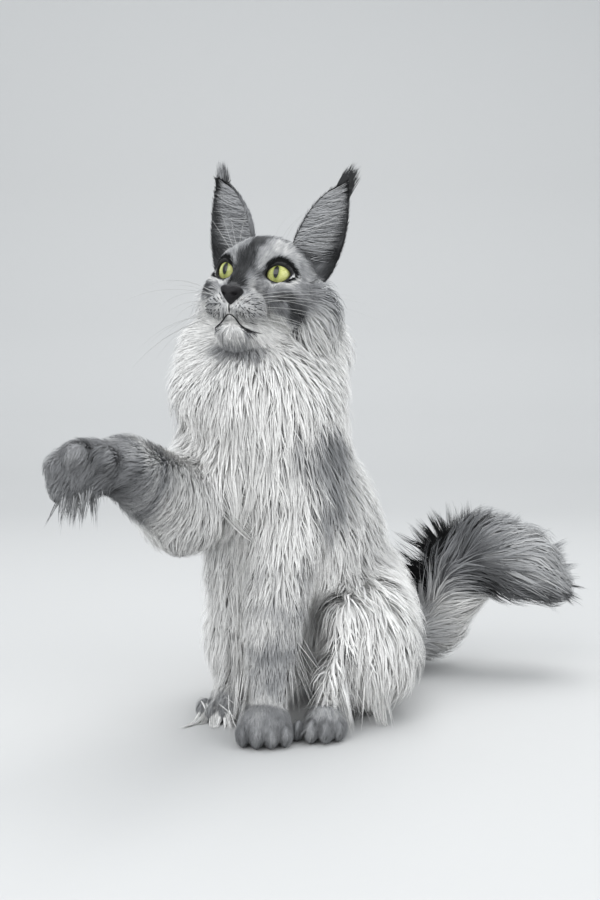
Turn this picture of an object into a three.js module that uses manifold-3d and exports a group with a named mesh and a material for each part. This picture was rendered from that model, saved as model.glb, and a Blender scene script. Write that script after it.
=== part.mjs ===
// A Maine Coon cat, life size, sitting upright with its right forepaw raised and its head turned
// up and to its right. Millimetres, +Z up. The origin is on the floor under the left forepaw, -Y is
// the way the chest faces and +X is the cat's left.
//
// The body is one smooth surface, blended from rounded masses, and it is parted by thin flat cuts
// into the pieces that a person would name. Ears, eyes, nose, lids and the locks of the long coat
// are separate forms that are joined to their piece or set beside it.
import * as THREE from "three";
import { mergeVertices } from "three/addons/utils/BufferGeometryUtils.js";
import Module from "manifold-3d";

const wasm = await Module();
wasm.setup();

// Driving sizes.
const GAP = 0.3; // between pieces that meet
const FAR = 900; // larger than the cat
const FLOOR_CLEARANCE = 1.2; // of all hair above the floor
const HEAD_CENTRE = [-2, 15, 397];
const HEAD_YAW = 23; // degrees towards the cat's right
const HEAD_PITCH = 10; // degrees up
const HEAD_ROLL = 5.5; // degrees, right ear up
const EYE_AT = [17.5, 22.5, 8]; // in the head's frame: forward, to each side, up
const EYE_RADIUS = 13;
const EYE_OUT = 17; // degrees that each eye looks outward

const degrees = THREE.MathUtils.degToRad;
const vec = (p) => new THREE.Vector3(...p);
const unit = (p) => vec(p).normalize();

// The head's own frame: forward, to the cat's left, and up.
const headFrame = (() => {
  const yaw = degrees(HEAD_YAW);
  const pitch = degrees(HEAD_PITCH);
  const roll = degrees(HEAD_ROLL);
  const forward = new THREE.Vector3(
    -Math.sin(yaw) * Math.cos(pitch),
    -Math.cos(yaw) * Math.cos(pitch),
    Math.sin(pitch),
  );
  const level = new THREE.Vector3(Math.cos(yaw), -Math.sin(yaw), 0);
  const upright = forward.clone().cross(level);
  const left = level.clone().multiplyScalar(Math.cos(roll)).addScaledVector(upright, -Math.sin(roll));
  const up = forward.clone().cross(left);
  return new THREE.Matrix4().makeBasis(forward, left, up).setPosition(vec(HEAD_CENTRE));
})();
const headInverse = headFrame.clone().invert();
const onHead = (f, l, u) => new THREE.Vector3(f, l, u).applyMatrix4(headFrame);
const headWay = (f, l, u) => new THREE.Vector3(f, l, u).transformDirection(headFrame);

// Rounded masses. A ball is an ellipsoid, turned about Z if it says so, and a limb is a rounded cone.
function ball(centre, radii, turn = 0) {
  const [cx, cy, cz] = centre;
  const [rx, ry, rz] = radii;
  const c = Math.cos(degrees(turn));
  const s = Math.sin(degrees(turn));
  return (x, y, z) => {
    const dx = x - cx;
    const dy = y - cy;
    const a = (dx * c + dy * s) / rx;
    const b = (dy * c - dx * s) / ry;
    const e = (z - cz) / rz;
    const near = Math.hypot(a, b, e);
    const slope = Math.hypot(a / rx, b / ry, e / rz);
    return slope < 1e-9 ? -Math.min(rx, ry, rz) : (near * (near - 1)) / slope;
  };
}

function limb(from, to, radiusFrom, radiusTo) {
  const a = vec(from);
  const along = vec(to).sub(a);
  const length2 = along.lengthSq();
  const narrowing = radiusFrom - radiusTo;
  const side2 = length2 - narrowing * narrowing;
  return (x, y, z) => {
    const px = x - a.x;
    const py = y - a.y;
    const pz = z - a.z;
    const t = px * along.x + py * along.y + pz * along.z;
    const over = t - length2;
    const qx = px * length2 - along.x * t;
    const qy = py * length2 - along.y * t;
    const qz = pz * length2 - along.z * t;
    const x2 = qx * qx + qy * qy + qz * qz;
    const y2 = t * t * length2;
    const z2 = over * over * length2;
    const k = Math.sign(narrowing) * narrowing * narrowing * x2;
    if (Math.sign(over) * side2 * z2 > k) return Math.sqrt(x2 + z2) / length2 - radiusTo;
    if (Math.sign(t) * side2 * y2 < k) return Math.sqrt(x2 + y2) / length2 - radiusFrom;
    return (Math.sqrt((x2 * side2) / length2) + t * narrowing) / length2 - radiusFrom;
  };
}

// The lower of two distances, with a fillet of about that width where they meet.
function smoothMin(a, b, width) {
  const h = Math.max(width - Math.abs(a - b), 0) / width;
  return Math.min(a, b) - (h * h * width) / 4;
}

const blend = (masses, width) => (x, y, z) =>
  masses.reduce((d, mass) => smoothMin(d, mass(x, y, z), width), 1e3);

// The head's masses, in its own frame.
const both = (make) => [-1, 1].map(make);
const headMasses = blend(
  [
    ball([-8, 0, 6], [45, 46, 43]),
    ball([12, 0, 17], [26, 29, 25]),
    ...both((s) => ball([15, s * 21, 18], [15, 16, 12])),
    ...both((s) => ball([EYE_AT[0], s * EYE_AT[1], EYE_AT[2]], [15.3, 15.3, 15])),
    ...both((s) => ball([8, s * 29, -13], [28, 23, 26])),
    ...both((s) => ball([-16, s * 46, -22], [30, 28, 40])),
    limb([18, 0, 13], [53, 0, -13], 14.5, 9.5),
    ball([36, 0, -24], [22, 23, 17]),
    ...both((s) => ball([45.5, s * 12.5, -28], [15.5, 15, 12])),
    ball([37, 0, -48], [17, 19, 12.5]),
    limb([0, 0, -34], [30, 0, -44], 34, 20),
  ],
  6,
);
const headDistance = (x, y, z) => {
  const e = headInverse.elements;
  return headMasses(
    e[0] * x + e[4] * y + e[8] * z + e[12],
    e[1] * x + e[5] * y + e[9] * z + e[13],
    e[2] * x + e[6] * y + e[10] * z + e[14],
  );
};

// The ruff, chest, belly and rump. The spine runs from the nape back and to the cat's left.
const trunk = blend(
  [
    limb([6, 50, 372], [2, 44, 325], 50, 64),
    ball([-9, 32, 306], [82, 72, 58]),
    ball([-32, 40, 345], [51, 42, 32]),
    ball([36, 42, 345], [45, 42, 32]),
    limb([0, 34, 284], [3, 42, 240], 68, 68),
    limb([5, 50, 265], [34, 92, 180], 66, 71),
    limb([-24, 48, 232], [-22, 80, 130], 46, 44),
    limb([34, 92, 180], [66, 142, 88], 71, 79),
    ball([74, 156, 76], [74, 82, 79.5], 24),
  ],
  24,
);

// Forelegs and hind legs, from the body out.
const toes = (places, radii, turn) => places.map((p) => ball(p, radii, turn));
const standingToes = [-18.5, -6.5, 6.5, 18.5].map((x) => [x - 1, -30 + Math.abs(x) * 0.55, 11]);
const leftFore = blend(
  [
    limb([20, 28, 205], [8, 12, 110], 44, 30),
    limb([8, 12, 110], [2, 3, 38], 30, 22),
    ball([-1, -9, 18], [24, 27, 19.5]),
    ...toes(standingToes, [7.8, 14, 11.3], 0),
  ],
  5,
);
const PAW_UP = [-134, -116, 251];
const raisedToes = [
  [-118, -132, 261],
  [-141, -137, 266],
  [-158, -128, 254],
  [-155, -124, 235],
];
const rightFore = blend(
  [
    limb([-42, 36, 238], [-72, 0, 206], 48, 42),
    limb([-72, 0, 206], [-108, -96, 251], 42, 27),
    ball(PAW_UP, [28, 22, 25]),
    ...toes(raisedToes, [11.5, 13, 11.5], 0),
  ],
  8,
);
const leftHind = blend(
  [
    ball([93, 78, 72], [55, 65, 73], 24),
    limb([76, 48, 96], [94, 82, 72], 36, 48),
    limb([80, 52, 58], [54, 24, 46], 30, 20),
    limb([84, 70, 20], [52, 2, 17], 19, 19),
    ...toes(
      [
        [28.5, -6, 11],
        [40, -14, 11.5],
        [53, -15, 11.5],
        [65, -7, 11],
      ],
      [7.8, 13, 11.5],
      -12,
    ),
  ],
  6,
);
const rightHind = blend(
  [
    ball([-19, 106, 70], [48, 60, 69], 24),
    limb([-24, 76, 92], [-14, 110, 70], 32, 44),
    limb([-12, 128, 19], [-38, 62, 17], 19, 18),
    ...toes(
      [
        [-60, 60, 11],
        [-51, 50, 11.5],
        [-38, 47, 11.5],
        [-26, 52, 11],
      ],
      [7.8, 13, 11.5],
      -20,
    ),
  ],
  6,
);

// The tail leaves the rump along the floor, climbs, and arches over to the cat's left.
const TAIL_PATH = [
  [98, 206, 38],
  [140, 230, 39],
  [174, 242, 50],
  [189, 241, 84],
  [204, 237, 114],
  [232, 231, 130],
  [266, 225, 117],
  [298, 219, 97],
];
const TAIL_BRUSH = [34, 38, 41, 43, 45, 48, 46, 26];
const tail = blend(
  TAIL_PATH.slice(1).map((p, i) => limb(TAIL_PATH[i], p, TAIL_BRUSH[i], TAIL_BRUSH[i + 1])),
  8,
);

// How deep the coat is, from its tips to the skin, at places all over the cat.
const COAT_DEPTH = [
  [onHead(44, 0, -20), 2.5],
  [onHead(30, 0, 20), 4],
  [onHead(-10, 0, 46), 9],
  ...both((s) => [onHead(18, s * 32, 0), 5]),
  ...both((s) => [onHead(-12, s * 56, -24), 24]),
  [vec([-5, -42, 318]), 38],
  [vec([-84, 30, 318]), 34],
  [vec([78, 40, 325]), 32],
  [vec([8, 104, 330]), 26],
  [vec([0, -28, 250]), 34],
  [vec([48, 130, 250]), 24],
  [vec([105, 120, 170]), 24],
  [vec([-58, 60, 170]), 30],
  [vec([110, 215, 100]), 30],
  [vec([60, 60, 60]), 30],
  [vec([130, 66, 60]), 32],
  [vec([-62, 100, 70]), 32],
  [vec([8, -15, 160]), 20],
  [vec([4, -18, 90]), 9],
  [vec([0, -20, 20]), 5],
  [vec([-80, 0, 180]), 22],
  [vec([-92, -60, 250]), 10],
  [vec([-92, -50, 200]), 16],
  [vec(PAW_UP), 6],
  [vec([52, -10, 18]), 6],
  [vec([-42, 52, 18]), 7],
  [vec([140, 230, 39]), 26],
  [vec([189, 241, 84]), 34],
  [vec([232, 231, 130]), 38],
  [vec([298, 219, 97]), 32],
];
function coatDepth(x, y, z) {
  let sum = 0;
  let weight = 0;
  for (const [p, depth] of COAT_DEPTH) {
    const r2 = (x - p.x) ** 2 + (y - p.y) ** 2 + (z - p.z) ** 2 + 60;
    sum += depth / (r2 * r2);
    weight += 1 / (r2 * r2);
  }
  return sum / weight;
}

// How the coat lies at places all over the cat, as ways in space.
const COAT_LIE = [
  [onHead(45, 0, 0), headWay(-0.9, 0, 0.5)],
  [onHead(25, 0, 38), headWay(-0.9, 0, 0.6)],
  [onHead(-25, 0, 46), headWay(-1, 0, -0.4)],
  [onHead(40, 0, -60), headWay(-0.7, 0, -0.7)],
  ...both((s) => [onHead(50, s * 24, -28), headWay(-0.9, s * 0.5, -0.2)]),
  ...both((s) => [onHead(10, s * 48, -8), headWay(-0.8, s * 0.4, -0.5)]),
  ...both((s) => [onHead(-16, s * 68, -28), headWay(-0.5, s * 0.45, -0.9)]),
  [vec([-5, -45, 318]), unit([0, -0.3, -1])],
  [vec([-84, 30, 318]), unit([-0.35, 0, -1])],
  [vec([78, 40, 325]), unit([0.35, 0, -1])],
  [vec([8, 104, 330]), unit([0.1, 0.35, -1])],
  [vec([0, -32, 250]), unit([0.05, 0, -1])],
  [vec([-60, 30, 200]), unit([-0.1, 0.1, -1])],
  [vec([62, 60, 230]), unit([0.15, 0.25, -1])],
  [vec([48, 130, 250]), unit([0.25, 0.45, -0.85])],
  [vec([105, 120, 170]), unit([0.25, 0.3, -0.9])],
  [vec([110, 215, 100]), unit([0.4, 0.4, -0.8])],
  [vec([40, 225, 70]), unit([0, 0.4, -0.9])],
  [vec([135, 70, 80]), unit([0.3, -0.05, -0.95])],
  [vec([70, 16, 50]), unit([0.12, -0.25, -0.95])],
  [vec([150, 150, 70]), unit([0.4, 0.3, -0.85])],
  [vec([-64, 100, 70]), unit([-0.25, 0.05, -0.95])],
  [vec([20, 60, 60]), unit([0, 0, -1])],
  [vec([4, -22, 120]), unit([0, 0, -1])],
  [vec([0, -34, 15]), unit([0, -0.9, -0.4])],
  [vec([50, -14, 17]), unit([-0.1, -0.9, -0.4])],
  [vec([-44, 50, 17]), unit([-0.3, -0.9, -0.4])],
  [vec([-80, 0, 170]), unit([-0.1, 0.1, -1])],
  [vec([-92, -60, 275]), unit([-0.3, -0.85, 0.3])],
  [vec([-96, -60, 215]), unit([-0.25, -0.35, -0.85])],
  [vec([-150, -120, 250]), unit([-0.8, -0.5, -0.1])],
  [vec([130, 225, 75]), unit([0.7, 0.3, 0.5])],
  [vec([140, 228, 5]), unit([0.85, 0.4, -0.1])],
  [vec([145, 240, 95]), unit([-0.15, 0, 1])],
  [vec([225, 240, 70]), unit([0.7, 0, 0.4])],
  [vec([195, 236, 170]), unit([0.25, 0, 1])],
  [vec([240, 231, 178]), unit([0.9, 0, 0.3])],
  [vec([236, 228, 85]), unit([0.9, -0.1, -0.2])],
  [vec([298, 219, 97]), unit([0.85, -0.15, -0.5])],
];
function coatLie(p) {
  const lie = new THREE.Vector3();
  for (const [at, way] of COAT_LIE) lie.addScaledVector(way, 1 / (at.distanceToSquared(p) + 80) ** 2);
  return lie.normalize();
}

// Where the coat is long, the solid under the locks stands half way to their tips.
const CORE_SHARE = 0.5;
const SHORT_COAT = 9;
const sunk = (x, y, z) => CORE_SHARE * Math.max(coatDepth(x, y, z) - SHORT_COAT, 0);

// Each leg blends into the trunk and not into another leg.
const withHead = (x, y, z) => smoothMin(trunk(x, y, z), headDistance(x, y, z), 9);
const alsoTrunk = (leg, width) => (x, y, z) => smoothMin(withHead(x, y, z), leg(x, y, z), width);
const LIMBS = [
  alsoTrunk(leftFore, 16),
  alsoTrunk(rightFore, 20),
  alsoTrunk(leftHind, 20),
  alsoTrunk(rightHind, 20),
  alsoTrunk(tail, 12),
];
const wholeBody = (x, y, z) => Math.min(...LIMBS.map((d) => d(x, y, z)));
const core = (field) => (x, y, z) => field(x, y, z) + sunk(x, y, z);
let body = wholeBody;

const SLOPE_STEP = 0.4;
function slope(p) {
  const h = SLOPE_STEP;
  return new THREE.Vector3(
    body(p.x + h, p.y, p.z) - body(p.x - h, p.y, p.z),
    body(p.x, p.y + h, p.z) - body(p.x, p.y - h, p.z),
    body(p.x, p.y, p.z + h) - body(p.x, p.y, p.z - h),
  ).divideScalar(2 * h);
}

// Moves a point to where the body's distance is the height asked for.
function settle(p, height = 0, steps = 3) {
  for (let i = 0; i < steps; i++) {
    const g = slope(p);
    p.addScaledVector(g, (height - body(p.x, p.y, p.z)) / Math.max(g.lengthSq(), 0.05));
  }
  return p;
}

// Where the four values round a square alternate in sign, two sheets of the surface would share an
// edge, so the smaller gap between them is filled.
function closeCrossings(value, [nx, ny, nz], cell) {
  const steps = [1, nx, nx * ny];
  for (let pass = 0; pass < 8; pass++) {
    let filled = 0;
    for (let k = 1; k < nz - 2; k++)
      for (let j = 1; j < ny - 2; j++)
        for (let i = 1; i < nx - 2; i++)
          for (const [u, v] of [[0, 1], [1, 2], [0, 2]]) {
            const at = (k * ny + j) * nx + i;
            const round = [at, at + steps[u], at + steps[u] + steps[v], at + steps[v]];
            const below = round.map((n) => value[n] < 0);
            if (below[0] !== below[2] || below[1] !== below[3] || below[0] === below[1]) continue;
            const [a, b] = round.filter((n) => value[n] >= 0);
            value[value[a] < value[b] ? a : b] = -0.02 * cell;
            filled++;
          }
    if (!filled) return;
  }
}

// The body's surface inside a box, as a closed mesh of squares: one vertex in each cell that the
// surface crosses, and one square for each grid edge that it crosses.
function surfaceIn(low, high, cell, height = 0) {
  const count = low.map((v, i) => Math.ceil((high[i] - v) / cell) + 1);
  const [nx, ny, nz] = count;
  const at = (i, j, k) => (k * ny + j) * nx + i;
  const value = new Float32Array(nx * ny * nz);
  for (let k = 0; k < nz; k++)
    for (let j = 0; j < ny; j++)
      for (let i = 0; i < nx; i++) {
        const edge = !i || !j || !k || i === nx - 1 || j === ny - 1 || k === nz - 1;
        const d = body(low[0] + i * cell, low[1] + j * cell, low[2] + k * cell) - height;
        value[at(i, j, k)] = edge ? Math.max(d, cell / 2) : d;
      }
  closeCrossings(value, count, cell);
  const vertexOf = new Map();
  const points = [];
  const corners = [0, 1, 2, 3, 4, 5, 6, 7].map((c) => [c & 1, (c >> 1) & 1, c >> 2]);
  for (let k = 0; k < nz - 1; k++)
    for (let j = 0; j < ny - 1; j++)
      for (let i = 0; i < nx - 1; i++) {
        const v = corners.map(([a, b, c]) => value[at(i + a, j + b, k + c)]);
        const below = v.filter((d) => d < 0).length;
        if (!below || below === 8) continue;
        const sum = new THREE.Vector3();
        let crossings = 0;
        corners.forEach((p, a) => {
          for (const bit of [1, 2, 4]) {
            const b = a | bit;
            if (a === b || v[a] < 0 === v[b] < 0) continue;
            const t = v[a] / (v[a] - v[b]);
            const q = corners[b];
            sum.x += p[0] + t * (q[0] - p[0]);
            sum.y += p[1] + t * (q[1] - p[1]);
            sum.z += p[2] + t * (q[2] - p[2]);
            crossings++;
          }
        });
        sum.divideScalar(crossings);
        const point = new THREE.Vector3(i + sum.x, j + sum.y, k + sum.z);
        point.multiplyScalar(cell).add(vec(low));
        const inside = i && j && k && i < nx - 2 && j < ny - 2 && k < nz - 2;
        if (inside) settle(point, height, 1);
        vertexOf.set(at(i, j, k), points.length);
        points.push(point);
      }
  const triangles = [];
  const square = (a, b, c, d, turned) => {
    const q = [a, b, c, d].map((v) => vertexOf.get(v));
    if (turned) q.reverse();
    const short = points[q[0]].distanceTo(points[q[2]]) < points[q[1]].distanceTo(points[q[3]]);
    if (short) triangles.push(q[0], q[1], q[2], q[0], q[2], q[3]);
    else triangles.push(q[1], q[2], q[3], q[1], q[3], q[0]);
  };
  for (let k = 0; k < nz - 1; k++)
    for (let j = 0; j < ny - 1; j++)
      for (let i = 0; i < nx - 1; i++) {
        const here = value[at(i, j, k)] < 0;
        if (j && k && here !== value[at(i + 1, j, k)] < 0)
          square(at(i, j - 1, k - 1), at(i, j, k - 1), at(i, j, k), at(i, j - 1, k), !here);
        if (i && k && here !== value[at(i, j + 1, k)] < 0)
          square(at(i - 1, j, k - 1), at(i - 1, j, k), at(i, j, k), at(i, j, k - 1), !here);
        if (i && j && here !== value[at(i, j, k + 1)] < 0)
          square(at(i - 1, j - 1, k), at(i, j - 1, k), at(i, j, k), at(i - 1, j, k), !here);
      }
  return solid(points, triangles);
}

// A closed surface as a solid, and a solid as a geometry.
function solid(points, triangles) {
  const places = new Float32Array(points.flatMap((p) => [p.x, p.y, p.z]));
  const made = new wasm.Manifold(
    new wasm.Mesh({
      numProp: 3,
      vertProperties: places,
      triVerts: new Uint32Array(triangles),
    }),
  );
  if (made.volume() > 0) return made;
  for (let i = 0; i < triangles.length; i += 3)
    [triangles[i], triangles[i + 1]] = [triangles[i + 1], triangles[i]];
  return new wasm.Manifold(
    new wasm.Mesh({ numProp: 3, vertProperties: places, triVerts: new Uint32Array(triangles) }),
  );
}

function solidOf(geometry) {
  const bare = geometry.clone();
  bare.deleteAttribute("normal");
  bare.deleteAttribute("uv");
  const merged = mergeVertices(bare, 1e-3);
  const places = merged.attributes.position;
  const points = Array.from({ length: places.count }, (_, i) =>
    new THREE.Vector3().fromBufferAttribute(places, i),
  );
  return solid(points, Array.from(merged.index.array));
}

function geometryOf(made) {
  const mesh = made.getMesh();
  const geometry = new THREE.BufferGeometry();
  const places = new Float32Array(mesh.numVert * 3);
  for (let i = 0; i < mesh.numVert; i++) {
    const first = i * mesh.numProp;
    places.set(mesh.vertProperties.subarray(first, first + 3), i * 3);
  }
  geometry.setAttribute("position", new THREE.BufferAttribute(places, 3));
  geometry.setIndex(new THREE.BufferAttribute(new Uint32Array(mesh.triVerts), 1));
  geometry.computeVertexNormals();
  return geometry;
}

const largest = (made) =>
  made.decompose().reduce((best, one) => (one.volume() > best.volume() ? one : best));
const joined = (solids) => solids.reduce((all, one) => all.add(one));

// Everything on the side of a plane that its normal points to, moved out by grow.
function halfSpace({ at, way }, grow = 0) {
  const normal = unit(way);
  const box = new THREE.BoxGeometry(2 * FAR, 2 * FAR, 2 * FAR);
  box.translate(0, 0, FAR - grow);
  box.applyQuaternion(
    new THREE.Quaternion().setFromUnitVectors(new THREE.Vector3(0, 0, 1), normal),
  );
  box.translate(...at);
  return solidOf(box);
}
const region = (planes, grow = 0) =>
  planes.map((p) => halfSpace(p, grow)).reduce((all, one) => all.intersect(one));

// The cuts. Each names a point on the plane and the way to the piece.
const flip = ({ at, way }) => ({ at, way: way.map((v) => -v) });
const below = (z) => ({ at: [0, 0, z], way: [0, 0, -1] });
const CUT = {
  head: { at: [0, 15, 350], way: [0.05, -0.4, 0.92] },
  muzzle: { at: onHead(34, 0, -20).toArray(), way: headWay(0.88, 0, -0.47).toArray() },
  neck: { at: [5, 45, 278], way: [0, -0.12, 1] },
  besideRuff: { at: [-96, 20, 300], way: [0.9, 0.45, 0] },
  rightShoulder: { at: [-54, 18, 220], way: [-0.9, -0.45, 0] },
  rightWrist: { at: [-112, -98, 250], way: [-0.55, -0.8, 0.15] },
  behindForeleg: { at: [0, 36, 40], way: [0, -1, 0.16] },
  besideForeleg: { at: [26, 0, 30], way: [-1, 0, 0.28] },
  leftWrist: { at: [0, 0, 40], way: [0, 0, -1] },
  leftHip: { at: [54, 85, 80], way: [0.916, -0.4, -0.25] },
  leftFlank: { at: [92, 76, 148], way: [0.1, -0.25, -1] },
  leftHaunch: { at: [122, 142, 70], way: [-0.42, -0.91, 0] },
  leftHeel: { at: [68, 32, 34], way: [-0.4, -0.92, -0.35] },
  rightHip: { at: [14, 100, 80], way: [-0.916, 0.4, -0.25] },
  rightFlank: { at: [-18, 106, 140], way: [-0.1, -0.1, -1] },
  rightHaunch: { at: [14, 168, 70], way: [-0.42, -0.91, 0] },
  rightHeel: { at: [-28, 84, 34], way: [-0.42, -0.91, -0.35] },
  tailRoot: { at: [122, 222, 36], way: [0.87, 0.5, 0] },
  tailBend: { at: [184, 242, 70], way: [0.4, 0, 0.92] },
  tailArch: { at: [230, 232, 130], way: [0.97, -0.15, 0.05] },
};
const PIECES = {
  muzzle: [CUT.head, CUT.muzzle, { at: onHead(0, 0, -62).toArray(), way: headWay(0, 0, 1).toArray() }],
  head: [CUT.head],
  neck: [flip(CUT.head), CUT.neck, CUT.besideRuff],
  foreleg_right: [CUT.rightShoulder, { at: [0, 0, 135], way: [0, 0, 1] }, below(296)],
  forepaw_right: [CUT.rightShoulder, CUT.rightWrist, below(296)],
  foreleg_left: [
    flip(CUT.leftWrist),
    below(172),
    CUT.behindForeleg,
    CUT.besideForeleg,
    { at: [-46, 0, 0], way: [1, 0, 0] },
  ],
  forepaw_left: [CUT.leftWrist, CUT.behindForeleg, CUT.besideForeleg],
  thigh_left: [CUT.leftHip, CUT.leftFlank, CUT.leftHaunch],
  hindpaw_left: [CUT.leftHeel, flip(CUT.besideForeleg), below(44)],
  thigh_right: [CUT.rightHip, CUT.rightFlank, CUT.rightHaunch],
  hindpaw_right: [CUT.rightHeel, flip(CUT.behindForeleg), below(42)],
  tail_base: [CUT.tailRoot],
  tail_middle: [CUT.tailRoot, CUT.tailBend],
  tail_end: [CUT.tailRoot, CUT.tailArch, CUT.tailBend],
};
// Pieces whose cuts also take in another piece, which keeps its own place.
const WITHOUT = {
  head: ["muzzle"],
  foreleg_right: ["forepaw_right"],
  thigh_left: ["hindpaw_left"],
  thigh_right: ["hindpaw_right"],
  tail_base: ["tail_middle"],
  tail_middle: ["tail_end"],
};
// The masses each piece is made from, the box that holds it, and the size of its squares.
const MADE_OF = {
  muzzle: [withHead, [-75, -85, 318], [50, 20, 425], 6.8],
  head: [withHead, [-85, -85, 312], [100, 95, 462], 12.2],
  neck: [withHead, [-98, -62, 262], [98, 125, 400], 22],
  forepaw_right: [LIMBS[1], [-185, -165, 205], [-80, -60, 296], 9.8],
  foreleg_right: [LIMBS[1], [-150, -130, 140], [-25, 90, 305], 17],
  foreleg_left: [LIMBS[0], [-50, -50, 25], [80, 70, 190], 15],
  forepaw_left: [LIMBS[0], [-38, -60, -12], [42, 50, 52], 8.4],
  thigh_left: [LIMBS[2], [20, -15, -14], [170, 180, 185], 23],
  hindpaw_left: [LIMBS[2], [10, -45, -12], [100, 75, 55], 9],
  thigh_right: [LIMBS[3], [-85, 20, -14], [50, 200, 175], 23],
  hindpaw_right: [LIMBS[3], [-82, 18, -12], [5, 112, 55], 9.8],
  tail_end: [LIMBS[4], [190, 160, 40], [345, 290, 195], 16],
  tail_middle: [LIMBS[4], [130, 180, 20], [270, 300, 185], 16],
  tail_base: [LIMBS[4], [80, 165, -12], [240, 300, 105], 16],
  torso: [wholeBody, [-90, -55, -16], [178, 262, 310], 28],
};

const floor = { at: [0, 0, 0], way: [0, 0, 1] };
const aboveFloor = halfSpace(floor);

// A closed form through rings of points, with both ends closed by a strip across them, or the far
// end drawn to a point.
function loft(rings, tip) {
  const n = rings[0].length;
  const points = rings.flat().map((p) => p.clone());
  const triangles = [];
  for (let r = 1; r < rings.length; r++)
    for (let i = 0; i < n; i++) {
      const j = (i + 1) % n;
      const low = (r - 1) * n;
      const high = r * n;
      triangles.push(low + i, low + j, high + j, low + i, high + j, high + i);
    }
  const close = (first, turned) => {
    for (let i = 0; i < n / 2 - 1; i++) {
      const q = [i, i + 1, n - 2 - i, n - 1 - i].map((k) => first + k);
      if (turned) q.reverse();
      if (i + 1 !== n - 2 - i) triangles.push(q[0], q[1], q[2]);
      triangles.push(q[0], q[2], q[3]);
    }
  };
  close(0, true);
  const last = (rings.length - 1) * n;
  if (!tip) close(last, false);
  else {
    points.push(tip.clone());
    for (let i = 0; i < n; i++) triangles.push(last + i, last + ((i + 1) % n), points.length - 1);
  }
  return solid(points, triangles);
}

// A ring of points as a tube's section, carried round a closed path.
function tubeRound(path, radius, sides) {
  const middle = path.reduce((sum, p) => sum.add(p), new THREE.Vector3()).divideScalar(path.length);
  const n = path.length;
  const points = [];
  const triangles = [];
  path.forEach((p, i) => {
    const along = path[(i + 1) % n].clone().sub(path[(i + n - 1) % n]).normalize();
    const out = p.clone().sub(middle).normalize();
    const across = along.clone().cross(out).normalize();
    const level = across.clone().cross(along);
    for (let k = 0; k < sides; k++) {
      const turn = (2 * Math.PI * k) / sides;
      const q = p.clone().addScaledVector(level, radius * Math.cos(turn));
      points.push(q.addScaledVector(across, radius * Math.sin(turn)));
      const a = i * sides + k;
      const b = i * sides + ((k + 1) % sides);
      const c = ((i + 1) % n) * sides + k;
      const d = ((i + 1) % n) * sides + ((k + 1) % sides);
      triangles.push(a, b, d, a, d, c);
    }
  });
  return solid(points, triangles);
}

// Eyes. The opening between the lids is an almond on the eyeball, its outer corner the higher.
const LID_OPENING = { inner: 11.6, outer: 10.9, above: 9.3, below: 8.5, tilt: 9, points: 14 };
const LID_RIM = 1.25;
function eyeFrame(side) {
  const gaze = headWay(Math.cos(degrees(EYE_OUT)), side * Math.sin(degrees(EYE_OUT)), 0.04);
  const tilt = degrees(LID_OPENING.tilt);
  const outward = headWay(-Math.sin(degrees(EYE_OUT)), side * Math.cos(degrees(EYE_OUT)), 0);
  const upright = headWay(0, 0, 1);
  const level = outward.clone().multiplyScalar(Math.cos(tilt)).addScaledVector(upright, Math.sin(tilt));
  const up = upright.clone().multiplyScalar(Math.cos(tilt)).addScaledVector(outward, -Math.sin(tilt));
  const centre = onHead(EYE_AT[0], side * EYE_AT[1], EYE_AT[2]);
  return { centre, gaze, level, up };
}
function lidEdge(side, radius) {
  const { centre, gaze, level, up } = eyeFrame(side);
  return Array.from({ length: LID_OPENING.points }, (_, i) => {
    const turn = (2 * Math.PI * i) / LID_OPENING.points;
    const c = Math.cos(turn);
    const x = c * (c > 0 ? LID_OPENING.outer : LID_OPENING.inner);
    const y = Math.sin(turn) * (turn < Math.PI ? LID_OPENING.above : LID_OPENING.below);
    const narrow = 1 - 0.14 * c ** 4;
    const out = level.clone().multiplyScalar(x).addScaledVector(up, y * narrow);
    out.addScaledVector(gaze, Math.sqrt(EYE_RADIUS ** 2 - out.lengthSq()));
    return out.setLength(radius).add(centre);
  });
}
function eyeball(side, grow = 0) {
  const { centre, gaze } = eyeFrame(side);
  const reach = EYE_RADIUS + grow;
  const front = [0, 14, 30, 48, 66, 84].map(
    (turn) => new THREE.Vector2(Math.sin(degrees(turn)), Math.cos(degrees(turn))).multiplyScalar(reach),
  );
  const back = new THREE.Vector2(0, -3 - grow);
  const profile = [back, front[5].clone().setY(-3 - grow), ...front.toReversed()];
  const sphere = new THREE.LatheGeometry(profile, 14);
  sphere.applyQuaternion(
    new THREE.Quaternion().setFromUnitVectors(new THREE.Vector3(0, 1, 0), gaze),
  );
  return solidOf(sphere.translate(...centre));
}
function lidOpening(side) {
  const { centre, gaze } = eyeFrame(side);
  const ends = [lidEdge(side, 4), lidEdge(side, EYE_RADIUS + 14)];
  const points = [...ends[0], ...ends[1]];
  const n = LID_OPENING.points;
  const near = points.push(centre.clone().addScaledVector(gaze, 1)) - 1;
  const far = points.push(centre.clone().addScaledVector(gaze, EYE_RADIUS + 16)) - 1;
  const triangles = [];
  for (let i = 0; i < n; i++) {
    const j = (i + 1) % n;
    triangles.push(i, j, n + j, i, n + j, n + i, near, j, i, far, n + i, n + j);
  }
  return solid(points, triangles);
}

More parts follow.
